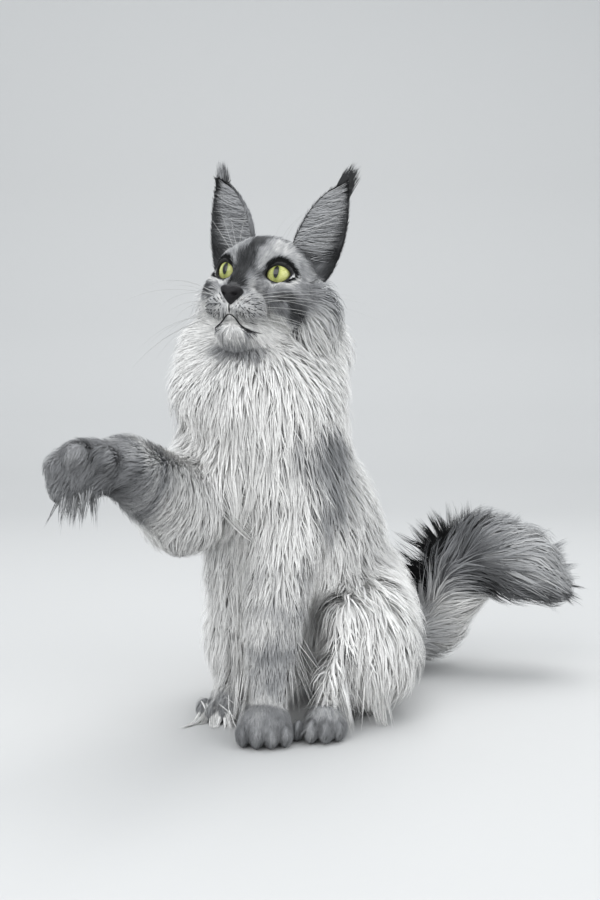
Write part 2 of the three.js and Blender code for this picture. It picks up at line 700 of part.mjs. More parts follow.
// Ears. Each is a thin cup between an inner and an outer edge, open forward and a little outward.
const EAR = {
  inner: [[-3, 19, 38], [-4, 30, 86], [-11, 62, 101]],
  outer: [[-10, 53, 12], [-18, 72, 50], [-12, 63.5, 100]],
  lean: 5, // of the tips, to the cat's right
  open: [0.88, 0.46, 0.05],
  depth: 20,
  wall: 2.6,
  rings: [0, 0.17, 0.36, 0.56, 0.75, 0.91],
  across: 6,
};
const bend = (points, side, t) => {
  const at = points.map(([f, l, u], i) => onHead(f, side * l - (EAR.lean * i) / 2, u));
  return new THREE.QuadraticBezierCurve3(...at).getPoint(t);
};
function earAt(side, t, across, lift = 0, grow = 0) {
  const inner = bend(EAR.inner, side, t);
  const chord = bend(EAR.outer, side, t).sub(inner);
  const back = headWay(EAR.open[0], side * EAR.open[1], EAR.open[2]).negate();
  const depth = EAR.depth * Math.sqrt(Math.max(0, 1 - t)) * (0.55 + 0.45 * Math.min(1, t * 3));
  const turn = Math.PI * across;
  const width = chord.length();
  const edge = lift / Math.max(width, 1);
  const along = edge + ((1 - Math.cos(turn)) / 2) * (1 - 2 * edge);
  const p = inner.addScaledVector(chord, along);
  p.addScaledVector(back, -grow * (1 - Math.sin(turn)));
  return p.addScaledVector(back, Math.max(depth - lift * 1.1, 0.2) * Math.sin(turn));
}
function ear(side, grow = 0) {
  const steps = Array.from({ length: EAR.across + 1 }, (_, i) => i / EAR.across);
  const rings = EAR.rings.map((t) => [
    ...steps.map((a) => earAt(side, t, a, -grow, grow)),
    ...steps.toReversed().map((a) => earAt(side, t, a, EAR.wall * (1 - 0.35 * t) + grow, grow)),
  ]);
  const tip = bend(EAR.inner, side, 1).lerp(bend(EAR.outer, side, 1), 0.5);
  if (grow) {
    const down = headWay(0.1, -side * 0.4, -0.9).multiplyScalar(grow * 1.5);
    rings[0].forEach((p) => p.add(down));
  }
  return loft(rings, tip.addScaledVector(headWay(0, side * 0.4, 0.9), grow * 3));
}

// The nose's leather, a rounded triangle that stands a little out of the muzzle.
const NOSE = {
  at: [58.5, 0, -18.5],
  section: [[0, 7], [5, 7.6], [9.6, 5], [7.6, -0.5], [3, -6], [0, -8.4]],
  rings: [[-9, 0.8], [0, 0.98], [3.4, 0.86], [5.2, 0.5]],
  lean: 0.14,
};
function nose(grow = 0) {
  const half = NOSE.section.map(([l, u]) => [l + (l ? grow : 0), u + Math.sign(u) * grow]);
  const section = [...half, ...half.slice(1, -1).toReversed().map(([l, u]) => [-l, u])];
  const rings = NOSE.rings.map(([f, scale], i) =>
    section.map(([l, u]) => {
      const out = f + (i ? grow : -grow) + u * NOSE.lean;
      return onHead(NOSE.at[0] + out, l * scale, NOSE.at[2] + u * scale);
    }),
  );
  return loft(rings, onHead(NOSE.at[0] + 5.8 + grow, 0, NOSE.at[2]));
}
function nostril(side) {
  const hole = new THREE.SphereGeometry(1, 8, 6).scale(3.4, 2.4, 1.6);
  hole.rotateX(side * 0.5).translate(NOSE.at[0] + 5.4, side * 4.6, NOSE.at[2] - 0.6);
  return solidOf(hole.applyMatrix4(headFrame));
}

// Lines pressed into the face: the mouth on each side, and the groove below the nose.
const MOUTH = [[59, 0, -36], [54, 9, -40.5], [46, 18, -42], [37, 26, -41], [30, 30, -38]];
const PHILTRUM = [[64, 0, -26], [62, 0, -31], [59, 0, -37]];
const GROOVE_WIDTH = 1.5;
const GROOVE_DEPTH = 2.6;
function groove(path) {
  const places = path.map((p) => settle(onHead(...p)));
  const rings = places.map((p, i) => {
    const out = slope(p).normalize();
    const next = places[Math.min(i + 1, places.length - 1)];
    const across = next.clone().sub(places[Math.max(i - 1, 0)]).cross(out).normalize();
    const lip = p.clone().addScaledVector(out, 1.5);
    return [
      lip.clone().addScaledVector(across, GROOVE_WIDTH),
      p.clone().addScaledVector(out, -GROOVE_DEPTH),
      p.clone().addScaledVector(out, -GROOVE_DEPTH).addScaledVector(across, -0.3),
      lip.clone().addScaledVector(across, -GROOVE_WIDTH),
    ];
  });
  return loft(rings);
}

// Locks. Each is flat and tapered: four-sided in section, widest a third of the way out.
const LOCK_PROFILE = [[0.7, 1], [1, 0.95], [0.72, 0.65]]; // width and thickness of each ring
const LOCK_SINK = 7; // of the root below the core
const LOCK_CLEAR = 0.5; // added all round where a neighbour is cut clear of it
let seed = 1;
function random() {
  seed = (seed * 16807) % 2147483647;
  return seed / 2147483647;
}
const vary = (middle, spread) => middle * (1 + spread * (2 * random() - 1));

function lockOn({ path, outs, half, thick }, grow = 0) {
  const whole = path[path.length - 1].clone().sub(path[0]);
  const across = whole.cross(outs.reduce((sum, out) => sum.add(out), new THREE.Vector3())).normalize();
  const rings = path.slice(0, -1).map((p, i) => {
    const along = path[i + 1].clone().sub(path[Math.max(i - 1, 0)]).normalize();
    const out = across.clone().cross(along).normalize();
    const [wide, deep] = LOCK_PROFILE[i];
    const w = half * wide + grow;
    const t = thick * deep + grow;
    const at = i ? p : p.clone().addScaledVector(along, -grow);
    return [
      at.clone().addScaledVector(across, w),
      at.clone().addScaledVector(out, t),
      at.clone().addScaledVector(across, -w),
      at.clone().addScaledVector(out, -t),
    ];
  });
  const end = path.length - 1;
  const last = path[end].clone().sub(path[end - 1]).normalize();
  return loft(rings, path[end].clone().addScaledVector(last, grow * 2.2));
}

// A lock that follows the body from a root on the core out to its tip above the coat's outline.
function bodyLock(root, outline, size) {
  body = outline;
  const depth = coatDepth(root.x, root.y, root.z);
  const length = vary(1.42 * depth + 6, 0.16);
  const over = 4 * random() - 1;
  const swerve = 0.35 * (2 * random() - 1);
  const start = -sunk(root.x, root.y, root.z);
  const steps = LOCK_PROFILE.length;
  const path = [];
  const outs = [];
  const p = root.clone();
  for (let i = 0; i <= steps; i++) {
    const out = slope(p).normalize();
    const s = i / steps;
    const rise = i ? start + 1.5 + (over - start) * s ** 1.25 : start - LOCK_SINK;
    path.push(settle(p.clone(), rise, 2));
    outs.push(out);
    const way = coatLie(p);
    way.addScaledVector(out, -way.dot(out)).normalize();
    way.applyAxisAngle(out, swerve * (0.3 + s));
    p.addScaledVector(way, length / steps);
  }
  return { path, outs, half: vary(size.half, 0.2), thick: vary(size.thick, 0.15) };
}

// A lock that hangs free, as at the toes and the tips of the ears.
function freeLock(from, way, length, half, thick, droop = 0, out = [0, 0, 1]) {
  const steps = LOCK_PROFILE.length;
  const heading = way.clone().normalize();
  const path = [];
  for (let i = 0; i <= steps; i++) {
    const s = i / steps;
    path.push(from.clone().addScaledVector(heading, length * s).add(vec([0, 0, -droop * s * s])));
  }
  return { path, outs: path.map(() => unit(out)), half, thick };
}

// Hair that stands free of the body: at the ears' tips, inside the ears, and between the toes.
function earLocks(side) {
  const top = headWay(0, side * 0.1, 1);
  const open = headWay(EAR.open[0], side * EAR.open[1], EAR.open[2]);
  const tip = bend(EAR.inner, side, 1).lerp(bend(EAR.outer, side, 1), 0.5);
  const tuft = earAt(side, 0.78, 0.5, EAR.wall / 2);
  const up = tip.clone().sub(tuft).normalize().addScaledVector(top, 0.25);
  const locks = [freeLock(tuft, up, 36, 4.2, 1.7, 0, open.toArray())];
  for (const [t, lean, length] of [[0.08, 0.9, 36], [0.26, 0.5, 34]]) {
    const from = earAt(side, t, 0.1, EAR.wall / 2);
    const to = bend(EAR.outer, side, Math.min(1, t + 1.1 - lean));
    const way = to.sub(from).normalize().addScaledVector(open, 0.12);
    locks.push(freeLock(from.addScaledVector(way, -2), way, length, 4.6, 1.5, 0, open.toArray()));
  }
  return locks;
}
const tuft = (from, way, length, half, droop, out) =>
  freeLock(vec(from), vec(way), length, half, 2.4, droop, out);
const FREE_LOCKS = {
  forepaw_right: [
    tuft([-156, -121, 240], [-0.2, -0.3, -0.9], 37, 7, 4, [-0.6, -0.8, 0]),
    tuft([-145, -122, 242], [0.25, -0.2, -0.9], 40, 6, 0, [-0.4, -0.9, 0]),
    tuft([-128, -118, 240], [0.45, -0.2, -0.8], 30, 7, 2, [-0.3, -0.9, 0]),
  ],
  hindpaw_right: [
    tuft([-58, 66, 12], [-0.9, -0.5, 0], 32, 6, 6, [0, 0, 1]),
    tuft([-44, 58, 10], [-0.5, -0.95, 0], 29, 6, 4, [0, 0, 1]),
  ],
  hindpaw_left: [
    tuft([62, 4, 12], [0.85, -0.55, 0], 34, 6, 6, [0, 0, 1]),
    tuft([47, -8, 9], [0.1, -1, 0], 26, 5, 3, [0, 0, 1]),
  ],
  forepaw_left: [tuft([14, -14, 10], [0.55, -0.8, 0], 30, 5, 4, [0, 0, 1])],
};

// Which pieces have long coats, how far apart their locks stand and how broad they are.
const LONG_COAT = {
  head: { apart: 32, half: 12, thick: 2.6, depth: 15 },
  neck: { apart: 40, half: 21, thick: 3 },
  torso: { apart: 52, half: 26, thick: 3.2 },
  foreleg_right: { apart: 46, half: 19, thick: 2.8, depth: 13 },
  foreleg_left: { apart: 34, half: 12, thick: 2.6, depth: 17 },
  thigh_left: { apart: 47, half: 22, thick: 3 },
  thigh_right: { apart: 47, half: 21, thick: 3 },
  tail_base: { apart: 36, half: 16, thick: 2.8 },
  tail_middle: { apart: 34, half: 15, thick: 2.8 },
  tail_end: { apart: 34, half: 15, thick: 2.8 },
};
const inside = (planes, p, margin) =>
  planes.every(({ at, way }) => p.clone().sub(vec(at)).dot(unit(way)) > margin);
function isIn(name, p, margin = 0) {
  if (name === "torso")
    return !Object.keys(PIECES).some((other) => inside(PIECES[other], p, -margin));
  const others = WITHOUT[name] ?? [];
  return inside(PIECES[name], p, margin) && !others.some((other) => isIn(other, p, -margin));
}
function bodyLocks(name) {
  const size = LONG_COAT[name];
  seed = 7919 * (size.seed ?? 11);
  const [field, low, high] = MADE_OF[name];
  const roots = [];
  for (let i = 0; i < 2600; i++) {
    const p = vec(low.map((v, k) => v + random() * (high[k] - v)));
    body = core(field);
    if (Math.abs(body(p.x, p.y, p.z)) > 30) continue;
    settle(p, 0, 3);
    if (Math.abs(body(p.x, p.y, p.z)) > 1 || p.z < 9) continue;
    if (coatDepth(p.x, p.y, p.z) < (size.depth ?? 12)) continue;
    if (!isIn(name, p, 3) || roots.some((q) => q.distanceTo(p) < size.apart)) continue;
    roots.push(p);
  }
  return roots.map((root) => bodyLock(root, field, size));
}

// One piece of the body: its own stretch of the surface between its cuts. The torso is what the
// other pieces leave.
const everything = solidOf(new THREE.BoxGeometry(FAR, FAR, FAR).translate(0, 0, FAR / 2));
const SIDES = Object.keys(PIECES).filter((name) => !["muzzle", "head", "neck"].includes(name));
function placeOf(name, grow = 0) {
  const others = name === "torso" ? SIDES : (WITHOUT[name] ?? []);
  const whole = name === "torso" ? everything : region(PIECES[name], grow);
  return others.reduce((left, other) => left.subtract(region(PIECES[other], -grow)), whole);
}

const ORDER = ["muzzle", "head", "neck", "torso", ...SIDES];
const COAT = "#b9bbbe";
const material = (color, roughness = 0.9) =>
  new THREE.MeshStandardMaterial({ color, roughness, metalness: 0 });
const cat = new THREE.Group();
function add(name, made, color, roughness) {
  const mesh = new THREE.Mesh(geometryOf(largest(made)), material(color, roughness));
  mesh.name = name;
  cat.add(mesh);
}

// What is joined to a piece, and what is cut out of it.
const cutFrom = {
  muzzle: () => {
    const mouth = both((side) => groove(MOUTH.map(([f, l, u]) => [f, side * l, u])));
    return joined([...mouth, groove(PHILTRUM), nose(GAP)]);
  },
  head: () =>
    joined([
      ...both((side) => ear(side, GAP)),
      ...both(earLocks).flat().map((lock) => lockOn(lock, LOCK_CLEAR)),
    ]),
};
function withEyes(made) {
  const rims = both((side) => tubeRound(lidEdge(side, EYE_RADIUS + 1.4), LID_RIM, 4));
  const balls = both((side) => eyeball(side, GAP));
  const open = both((side) => lidOpening(side));
  return made.subtract(joined(open)).add(joined(rims)).subtract(joined(balls));
}

const aboveHair = halfSpace({ at: [0, 0, FLOOR_CLEARANCE], way: [0, 0, 1] });
const taken = [];
let headCoat = null;
for (const name of ORDER) {
  const [field, low, high, cell] = MADE_OF[name];
  body = core(field);
  let made = surfaceIn(low, high, cell).intersect(aboveFloor);
  if (name === "head") made = withEyes(made);
  if (cutFrom[name]) made = made.subtract(cutFrom[name]());
  made = made.intersect(placeOf(name));
  const locks = [...(LONG_COAT[name] ? bodyLocks(name) : []), ...(FREE_LOCKS[name] ?? [])];
  if (locks.length) {
    const coat = wasm.Manifold.union(locks.map((lock) => lockOn(lock)));
    made = made.add(coat.intersect(aboveHair));
  }
  for (const place of taken) made = made.subtract(place);
  add(name, made, COAT);
  taken.push(placeOf(name, GAP));
  if (!locks.length) continue;
  taken.push(wasm.Manifold.union(locks.map((lock) => lockOn(lock, LOCK_CLEAR))));
  if (name === "head") headCoat = taken.at(-1);
}
add("nose", nose().subtract(joined(both(nostril))), "#1d1c1e", 0.5);
both((side) => {
  const which = side < 0 ? "right" : "left";
  const tufts = earLocks(side).map((lock) => lockOn(lock));
  add("ear_" + which, joined([ear(side), ...tufts]).subtract(headCoat), "#8f9196");
  add("eye_" + which, eyeball(side), "#a9b04a", 0.1);
});

export default cat;
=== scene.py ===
"""A life-size maine coon cat that sits with one forepaw raised: skin, coat, eyes, nose and whiskers.

Tables are in millimetres. A mesh becomes metres as it is made.
"""

import logging
import math
from collections.abc import Callable
from concurrent.futures import ThreadPoolExecutor
from dataclasses import dataclass, field
from enum import Enum

import bpy
import numpy as np
import openvdb
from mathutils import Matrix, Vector

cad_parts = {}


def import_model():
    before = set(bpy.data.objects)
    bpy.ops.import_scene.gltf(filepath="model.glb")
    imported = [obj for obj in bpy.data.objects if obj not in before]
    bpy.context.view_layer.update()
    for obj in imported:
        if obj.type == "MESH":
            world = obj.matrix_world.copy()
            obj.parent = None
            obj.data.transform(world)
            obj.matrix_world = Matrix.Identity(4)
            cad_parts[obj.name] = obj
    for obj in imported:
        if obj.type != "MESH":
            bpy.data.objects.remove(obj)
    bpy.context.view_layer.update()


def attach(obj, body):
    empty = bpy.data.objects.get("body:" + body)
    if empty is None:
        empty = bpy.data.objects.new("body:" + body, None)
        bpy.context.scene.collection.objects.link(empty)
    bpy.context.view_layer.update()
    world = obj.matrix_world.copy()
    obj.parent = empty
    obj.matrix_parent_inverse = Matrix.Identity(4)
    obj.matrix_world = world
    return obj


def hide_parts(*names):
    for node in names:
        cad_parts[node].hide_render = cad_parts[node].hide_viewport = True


LOG = logging.getLogger("cat")
METRE = 0.001
FAR = 1000.0
COAT_SEED = 11
LOCK_SEED = 77
WHISKER_SEED = 5
HAIR_SEED = 23
ANY_TURN = 6.28
CORES = 4
CHUNK = 60000
PIECE_MOST = 190000
BAKE_MAP = "OFBake"
BAKE_PATCH = 0.003
EYE_MAP = "EyeFace"
SHADE = "Shade"
LID_WALL = 1.3
LID_MELT = 4.0
SOCKET_FLOOR = 3.0
MOUTH_GROOVE = 3.6
GROUND = 0.25
HAIR_SHARES = np.linspace(0, 1, 5)


class Tract(Enum):
    """The lengths of the body that the coat is made in."""

    HEAD = 0
    TRUNK = 1
    LEFT_FORELEG = 2
    RIGHT_FORELEG = 3
    LEFT_HIND = 4
    RIGHT_HIND = 5
    TAIL = 6
    EARS = 7


class Place(Enum):
    """What a table's points are measured from."""

    HEAD = "head"
    FLOOR = "floor"


def unit(ways: np.ndarray) -> np.ndarray:
    """Returns the same directions at length 1."""
    return ways / np.maximum(np.linalg.norm(ways, axis=-1, keepdims=True), 1e-9)


def ease(low: float, high: float, values: np.ndarray) -> np.ndarray:
    """Returns 0 below low and 1 above high, with a soft rise between."""
    t = np.clip((values - low) / (high - low), 0.0, 1.0)
    return t * t * (3 - 2 * t)


def join(a: np.ndarray, b: np.ndarray, width: float) -> np.ndarray:
    """Returns the smaller of two distances, rounded where they meet.

    Args:
        a: The first form's distances.
        b: The second form's distances.
        width: How wide the rounding is.
    """
    h = np.maximum(width - np.abs(a - b), 0.0) / width
    return np.minimum(a, b) - h * h * (width / 4)


def turns(count: int) -> np.ndarray:
    """Returns that many even steps round a circle."""
    return np.linspace(0, 2 * math.pi, count, endpoint=False)


def dot(a: np.ndarray, b: np.ndarray) -> np.ndarray:
    """Returns the dot product along the last axis."""
    return np.sum(a * b, axis=-1)


@dataclass(frozen=True)
class HeadFrame:
    """Where the head stands and how it is turned."""

    centre: tuple[float, float, float] = (-2.0, 15.0, 397.0)
    yaw: float = 23.0
    pitch: float = 10.0
    roll: float = 5.5

    def axes(self) -> np.ndarray:
        """Returns rows for the ways forward, to the cat's left and up."""
        y, p, r = (math.radians(v) for v in (self.yaw, self.pitch, self.roll))
        forward = np.array([-math.sin(y) * math.cos(p), -math.cos(y) * math.cos(p), math.sin(p)])
        level = np.array([math.cos(y), -math.sin(y), 0.0])
        upright = np.cross(forward, level)
        left = level * math.cos(r) - upright * math.sin(r)
        return np.array([forward, left, np.cross(forward, left)])

    def inside(self, points: np.ndarray) -> np.ndarray:
        """Returns floor points as head points."""
        return (points - np.array(self.centre)) @ self.axes().T

    def outside(self, points: np.ndarray) -> np.ndarray:
        """Returns head points as floor points."""
        return np.asarray(points, float) @ self.axes() + np.array(self.centre)

    def turned(self, ways: np.ndarray) -> np.ndarray:
        """Returns head directions as floor directions."""
        return np.asarray(ways, float) @ self.axes()

    def close(self, points: np.ndarray, middle: tuple[float, float, float], reach: float) -> np.ndarray:
        """Returns which floor points are within reach of a head point."""
        return np.linalg.norm(points - self.outside(middle), axis=1) < reach


HEAD = HeadFrame()


@dataclass(frozen=True)
class Ball:
    """An ellipsoid of flesh, which may be turned about the upright."""

    centre: tuple[float, float, float]
    radii: tuple[float, float, float]
    turn: float = 0.0

    def distance(self, p: np.ndarray) -> np.ndarray:
        """Returns about how far each point is outside."""
        c, s = math.cos(math.radians(self.turn)), math.sin(math.radians(self.turn))
        x, y, z = (p[:, i] - self.centre[i] for i in range(3))
        a, b, e = (x * c + y * s) / self.radii[0], (y * c - x * s) / self.radii[1], z / self.radii[2]
        near = np.sqrt(a * a + b * b + e * e)
        slope = np.sqrt((a / self.radii[0]) ** 2 + (b / self.radii[1]) ** 2 + (e / self.radii[2]) ** 2)
        return near * (near - 1) / np.maximum(slope, 1e-6)

    def mirrored(self) -> tuple["Ball", "Ball"]:
        """Returns this ball and its fellow across the head's middle."""
        x, y, z = self.centre
        return self, Ball((x, -y, z), self.radii, -self.turn)


@dataclass(frozen=True)
class Limb:
    """A rounded cone of flesh between two points."""

    start: tuple[float, float, float]
    end: tuple[float, float, float]
    start_radius: float
    end_radius: float

    def distance(self, p: np.ndarray) -> np.ndarray:
        """Returns how far each point is outside."""
        start, way = np.array(self.start), np.array(self.end) - np.array(self.start)
        length = float(np.linalg.norm(way))
        rel = p - start.astype(p.dtype)
        along = rel @ (way / length).astype(p.dtype)
        across = np.sqrt(np.maximum(dot(rel, rel) - along * along, 0.0))
        lean = (self.start_radius - self.end_radius) / length
        flat = math.sqrt(max(1 - lean * lean, 0.0))
        k = along * flat - across * lean
        cap_start = np.sqrt(across**2 + along**2) - self.start_radius
        cap_end = np.sqrt(across**2 + (along - length) ** 2) - self.end_radius
        side = across * flat + along * lean - self.start_radius
        return np.where(k < 0, cap_start, np.where(k > flat * length, cap_end, side))


@dataclass(frozen=True)
class Mass:
    """Forms that melt into one length of the body."""

    forms: tuple[Ball | Limb, ...]
    melt: float
    weld: float = 0.0

    def distance(self, p: np.ndarray) -> np.ndarray:
        """Returns how far each point is outside the whole."""
        out = np.full(len(p), FAR, p.dtype)
        for form in self.forms:
            out = join(out, form.distance(p), self.melt)
        return out


def toes(places: tuple, radii: tuple[float, float, float], turn: float = 0.0) -> tuple[Ball, ...]:
    """Returns one ball for each toe.

    Args:
        places: The toes' middles.
        radii: The size that the toes share.
        turn: How far the foot is turned.
    """
    return tuple(Ball(place, radii, turn) for place in places)


HEAD_MASS = Mass(
    (
        Ball((-8, 0, 6), (45, 46, 43)),
        Ball((12, 0, 17), (26, 29, 25)),
        *Ball((15, 21, 18), (15, 16, 12)).mirrored(),
        *Ball((17.5, 22.5, 8), (15.3, 15.3, 15)).mirrored(),
        *Ball((8, 29, -13), (28, 23, 26)).mirrored(),
        *Ball((-16, 46, -22), (30, 28, 40)).mirrored(),
        Limb((18, 0, 13), (53, 0, -13), 14.5, 9.5),
        Ball((36, 0, -24), (22, 23, 17)),
        *Ball((45.5, 12.5, -28), (15.5, 15, 12)).mirrored(),
        Ball((37, 0, -48), (17, 19, 12.5)),
        Limb((0, 0, -34), (30, 0, -44), 34, 20),
    ),
    6.0,
    9.0,
)
TRUNK_MASS = Mass(
    (
        Limb((6, 50, 372), (2, 44, 325), 50, 64),
        Ball((-9, 32, 306), (82, 72, 58)),
        Ball((-32, 40, 345), (51, 42, 32)),
        Ball((36, 42, 345), (45, 42, 32)),
        Limb((0, 34, 284), (3, 42, 240), 68, 68),
        Limb((5, 50, 265), (34, 92, 180), 66, 71),
        Limb((-24, 48, 232), (-22, 80, 130), 46, 44),
        Limb((34, 92, 180), (66, 142, 88), 71, 79),
        Ball((74, 156, 76), (74, 82, 79.5), 24),
    ),
    24.0,
)
LEFT_FORE_MASS = Mass(
    (
        Limb((20, 28, 205), (8, 12, 110), 44, 30),
        Limb((8, 12, 110), (2, 3, 38), 30, 22),
        Ball((-1, -9, 18), (24, 27, 19.5)),
        *toes(((-19.5, -22.6, 11), (-7.5, -27.4, 11), (5.5, -27.4, 11), (17.5, -22.6, 11)), (7.8, 14, 11.3)),
    ),
    5.0,
    16.0,
)
RAISED_PAW = (-134.0, -116.0, 251.0)
RIGHT_FORE_MASS = Mass(
    (
        Limb((-42, 36, 238), (-72, 0, 206), 48, 42),
        Limb((-72, 0, 206), (-108, -96, 251), 42, 27),
        Ball(RAISED_PAW, (28, 22, 25)),
        *toes(
            ((-118, -131, 260), (-139, -135, 264), (-155, -127, 253), (-152, -124, 236)),
            (12.5, 13.5, 12.5),
        ),
    ),
    11.0,
    20.0,
)
LEFT_HIND_MASS = Mass(
    (
        Ball((93, 78, 72), (55, 65, 73), 24),
        Limb((76, 48, 96), (94, 82, 72), 36, 48),
        Limb((80, 52, 58), (54, 24, 46), 30, 20),
        Limb((84, 70, 20), (52, 2, 17), 19, 19),
        Limb((84, 58, 116), (56, 14, 44), 26, 19),
        *toes(((28.5, -6, 11), (40, -14, 11.5), (53, -15, 11.5), (65, -7, 11)), (7.8, 13, 11.5), -12),
    ),
    6.0,
    20.0,
)
RIGHT_HIND_MASS = Mass(
    (
        Ball((-19, 106, 70), (48, 60, 69), 24),
        Limb((-24, 76, 92), (-14, 110, 70), 32, 44),
        Limb((-12, 128, 19), (-38, 62, 17), 19, 18),
        *toes(((-60, 60, 11), (-51, 50, 11.5), (-38, 47, 11.5), (-26, 52, 11)), (7.8, 13, 11.5), -20),
    ),
    6.0,
    20.0,
)
TAIL_PATH = (
    (98, 206, 38),
    (140, 230, 39),
    (174, 242, 50),
    (189, 241, 84),
    (204, 237, 114),
    (232, 231, 130),
    (266, 225, 117),
    (298, 219, 97),
)
TAIL_BRUSH = (34, 38, 41, 43, 45, 48, 46, 26)
TAIL_MASS = Mass(
    tuple(Limb(a, b, r, s) for a, b, r, s in zip(TAIL_PATH, TAIL_PATH[1:], TAIL_BRUSH, TAIL_BRUSH[1:])),
    8.0,
    12.0,
)
LIMBS = {
    Tract.LEFT_FORELEG: LEFT_FORE_MASS,
    Tract.RIGHT_FORELEG: RIGHT_FORE_MASS,
    Tract.LEFT_HIND: LEFT_HIND_MASS,
    Tract.RIGHT_HIND: RIGHT_HIND_MASS,
    Tract.TAIL: TAIL_MASS,
}
MOUTH = ((59, 0, -37), (56, 7, -41), (49, 16, -45), (41, 23, -46), (34, 28, -45))
MOUTH_RIGHT = tuple((x, -y, z) for x, y, z in MOUTH)
PHILTRUM = ((64, 0, -26), (62, 0, -31), (59, 0, -37))
THREAD_RADII = (0.01, 0.005)


def both_sides(table: tuple) -> tuple:
    """Returns head-frame rows with each one off the middle mirrored too."""
    out = []
    for place, value in table:
        out.append((place, value))
        if place[1]:
            flipped = (value[0], -value[1], value[2]) if isinstance(value, tuple) else value
            out.append(((place[0], -place[1], place[2]), flipped))
    return tuple(out)


HEAD_DEPTH = both_sides(
    (
        ((44, 0, -20), 2.5),
        ((30, 0, 20), 4.0),
        ((-10, 0, 46), 8.0),
        ((18, 32, 0), 4.5),
        ((30, 24, -14), 3.5),
        ((-12, 56, -24), 24.0),
        ((42, 0, -54), 4.0),
        ((34, 17, -46), 4.5),
        ((24, 0, -62), 11.0),
    )
)
FLOOR_DEPTH = (
    ((-5, -42, 318), 38.0),
    ((-84, 30, 318), 34.0),
    ((78, 40, 325), 32.0),
    ((8, 104, 330), 26.0),
    ((0, -28, 250), 34.0),
    ((48, 130, 250), 24.0),
    ((105, 120, 170), 24.0),
    ((-58, 60, 170), 30.0),
    ((110, 215, 100), 30.0),
    ((60, 60, 60), 30.0),
    ((130, 66, 60), 32.0),
    ((-62, 100, 70), 32.0),
    ((8, -15, 160), 20.0),
    ((56, 12, 60), 24.0),
    ((66, 12, 44), 22.0),
    ((84, 44, 60), 32.0),
    ((4, -18, 90), 9.0),
    ((0, -20, 16), 3.0),
    ((-80, 0, 180), 22.0),
    ((-92, -60, 250), 10.0),
    ((-92, -50, 200), 16.0),
    (RAISED_PAW, 6.0),
    ((52, -8, 14), 3.2),
    ((-42, 52, 14), 4.0),
    ((140, 230, 39), 26.0),
    ((189, 241, 84), 34.0),
    ((232, 231, 130), 38.0),
    ((298, 219, 97), 32.0),
)
HEAD_LIE = both_sides(
    (
        ((45, 0, 0), (-0.9, 0, 0.5)),
        ((25, 0, 38), (-0.9, 0, 0.6)),
        ((-25, 0, 46), (-1, 0, -0.4)),
        ((40, 0, -60), (-0.7, 0, -0.7)),
        ((50, 24, -28), (-0.9, 0.5, -0.2)),
        ((10, 48, -8), (-0.8, 0.4, -0.5)),
        ((-16, 68, -28), (-0.5, 0.45, -0.9)),
    )
)
FLOOR_LIE = (
    ((-5, -45, 318), (0, -0.3, -1)),
    ((-84, 30, 318), (-0.9, 0.15, -0.55)),
    ((78, 40, 325), (0.85, 0.15, -0.6)),
    ((8, 104, 330), (0.1, 0.35, -1)),
    ((0, -32, 250), (0.05, 0, -1)),
    ((-60, 30, 200), (-0.1, 0.1, -1)),
    ((62, 60, 230), (0.15, 0.25, -1)),
    ((48, 130, 250), (0.25, 0.45, -0.85)),
    ((105, 120, 170), (0.25, 0.3, -0.9)),
    ((110, 215, 100), (0.4, 0.4, -0.8)),
    ((40, 225, 70), (0, 0.4, -0.9)),
    ((135, 70, 80), (0.3, -0.05, -0.95)),
    ((70, 16, 50), (0.12, -0.25, -0.95)),
    ((150, 150, 70), (0.4, 0.3, -0.85)),
    ((-64, 100, 70), (-0.25, 0.05, -0.95)),
    ((20, 60, 60), (0, 0, -1)),
    ((4, -22, 120), (0, 0, -1)),
    ((0, -34, 15), (0, -0.4, -0.9)),
    ((50, -14, 17), (-0.1, -0.4, -0.9)),
    ((78, 34, 50), (0.15, -0.3, -0.94)),
    ((56, 2, 70), (-0.08, -0.2, -0.98)),
    ((64, 6, 40), (0.05, -0.35, -0.94)),
    ((-44, 50, 17), (-0.2, -0.4, -0.9)),
    ((-80, 0, 170), (-0.1, 0.1, -1)),
    ((-92, -60, 275), (-0.45, -0.8, -0.1)),
    ((-66, -20, 262), (-0.45, -0.5, -0.65)),
    ((-96, -60, 215), (-0.25, -0.35, -0.85)),
    ((-150, -124, 252), (-0.4, -0.3, -0.85)),
    ((-118, -104, 270), (-0.6, -0.6, 0.1)),
    ((130, 225, 75), (0.7, 0.3, 0.5)),
    ((140, 228, 5), (0.85, 0.4, -0.1)),
    ((145, 240, 95), (-0.15, 0, 1)),
    ((225, 240, 70), (0.7, 0, 0.4)),
    ((195, 236, 170), (0.25, 0, 1)),
    ((240, 231, 178), (0.9, 0, 0.3)),
    ((236, 228, 85), (0.9, -0.1, -0.2)),
    ((298, 219, 97), (0.85, -0.15, -0.5)),
)


@dataclass
class Scatter:
    """Values given at a few places and mixed between them by nearness."""

    places: np.ndarray
    values: np.ndarray
    softness: float

    def at(self, points: np.ndarray) -> np.ndarray:
        """Returns the mixed values at the points."""
        out = np.empty((len(points), self.values.shape[1]), np.float32)
        for i in range(0, len(points), CHUNK):
            part = points[i : i + CHUNK]
            gap = (
                dot(part, part)[:, None]
                - 2 * part @ self.places.T
                + dot(self.places, self.places)[None]
            )
            weight = 1.0 / (np.maximum(gap, 0) + self.softness) ** 2
            out[i : i + CHUNK] = weight @ self.values / weight.sum(axis=1, keepdims=True)
        return out


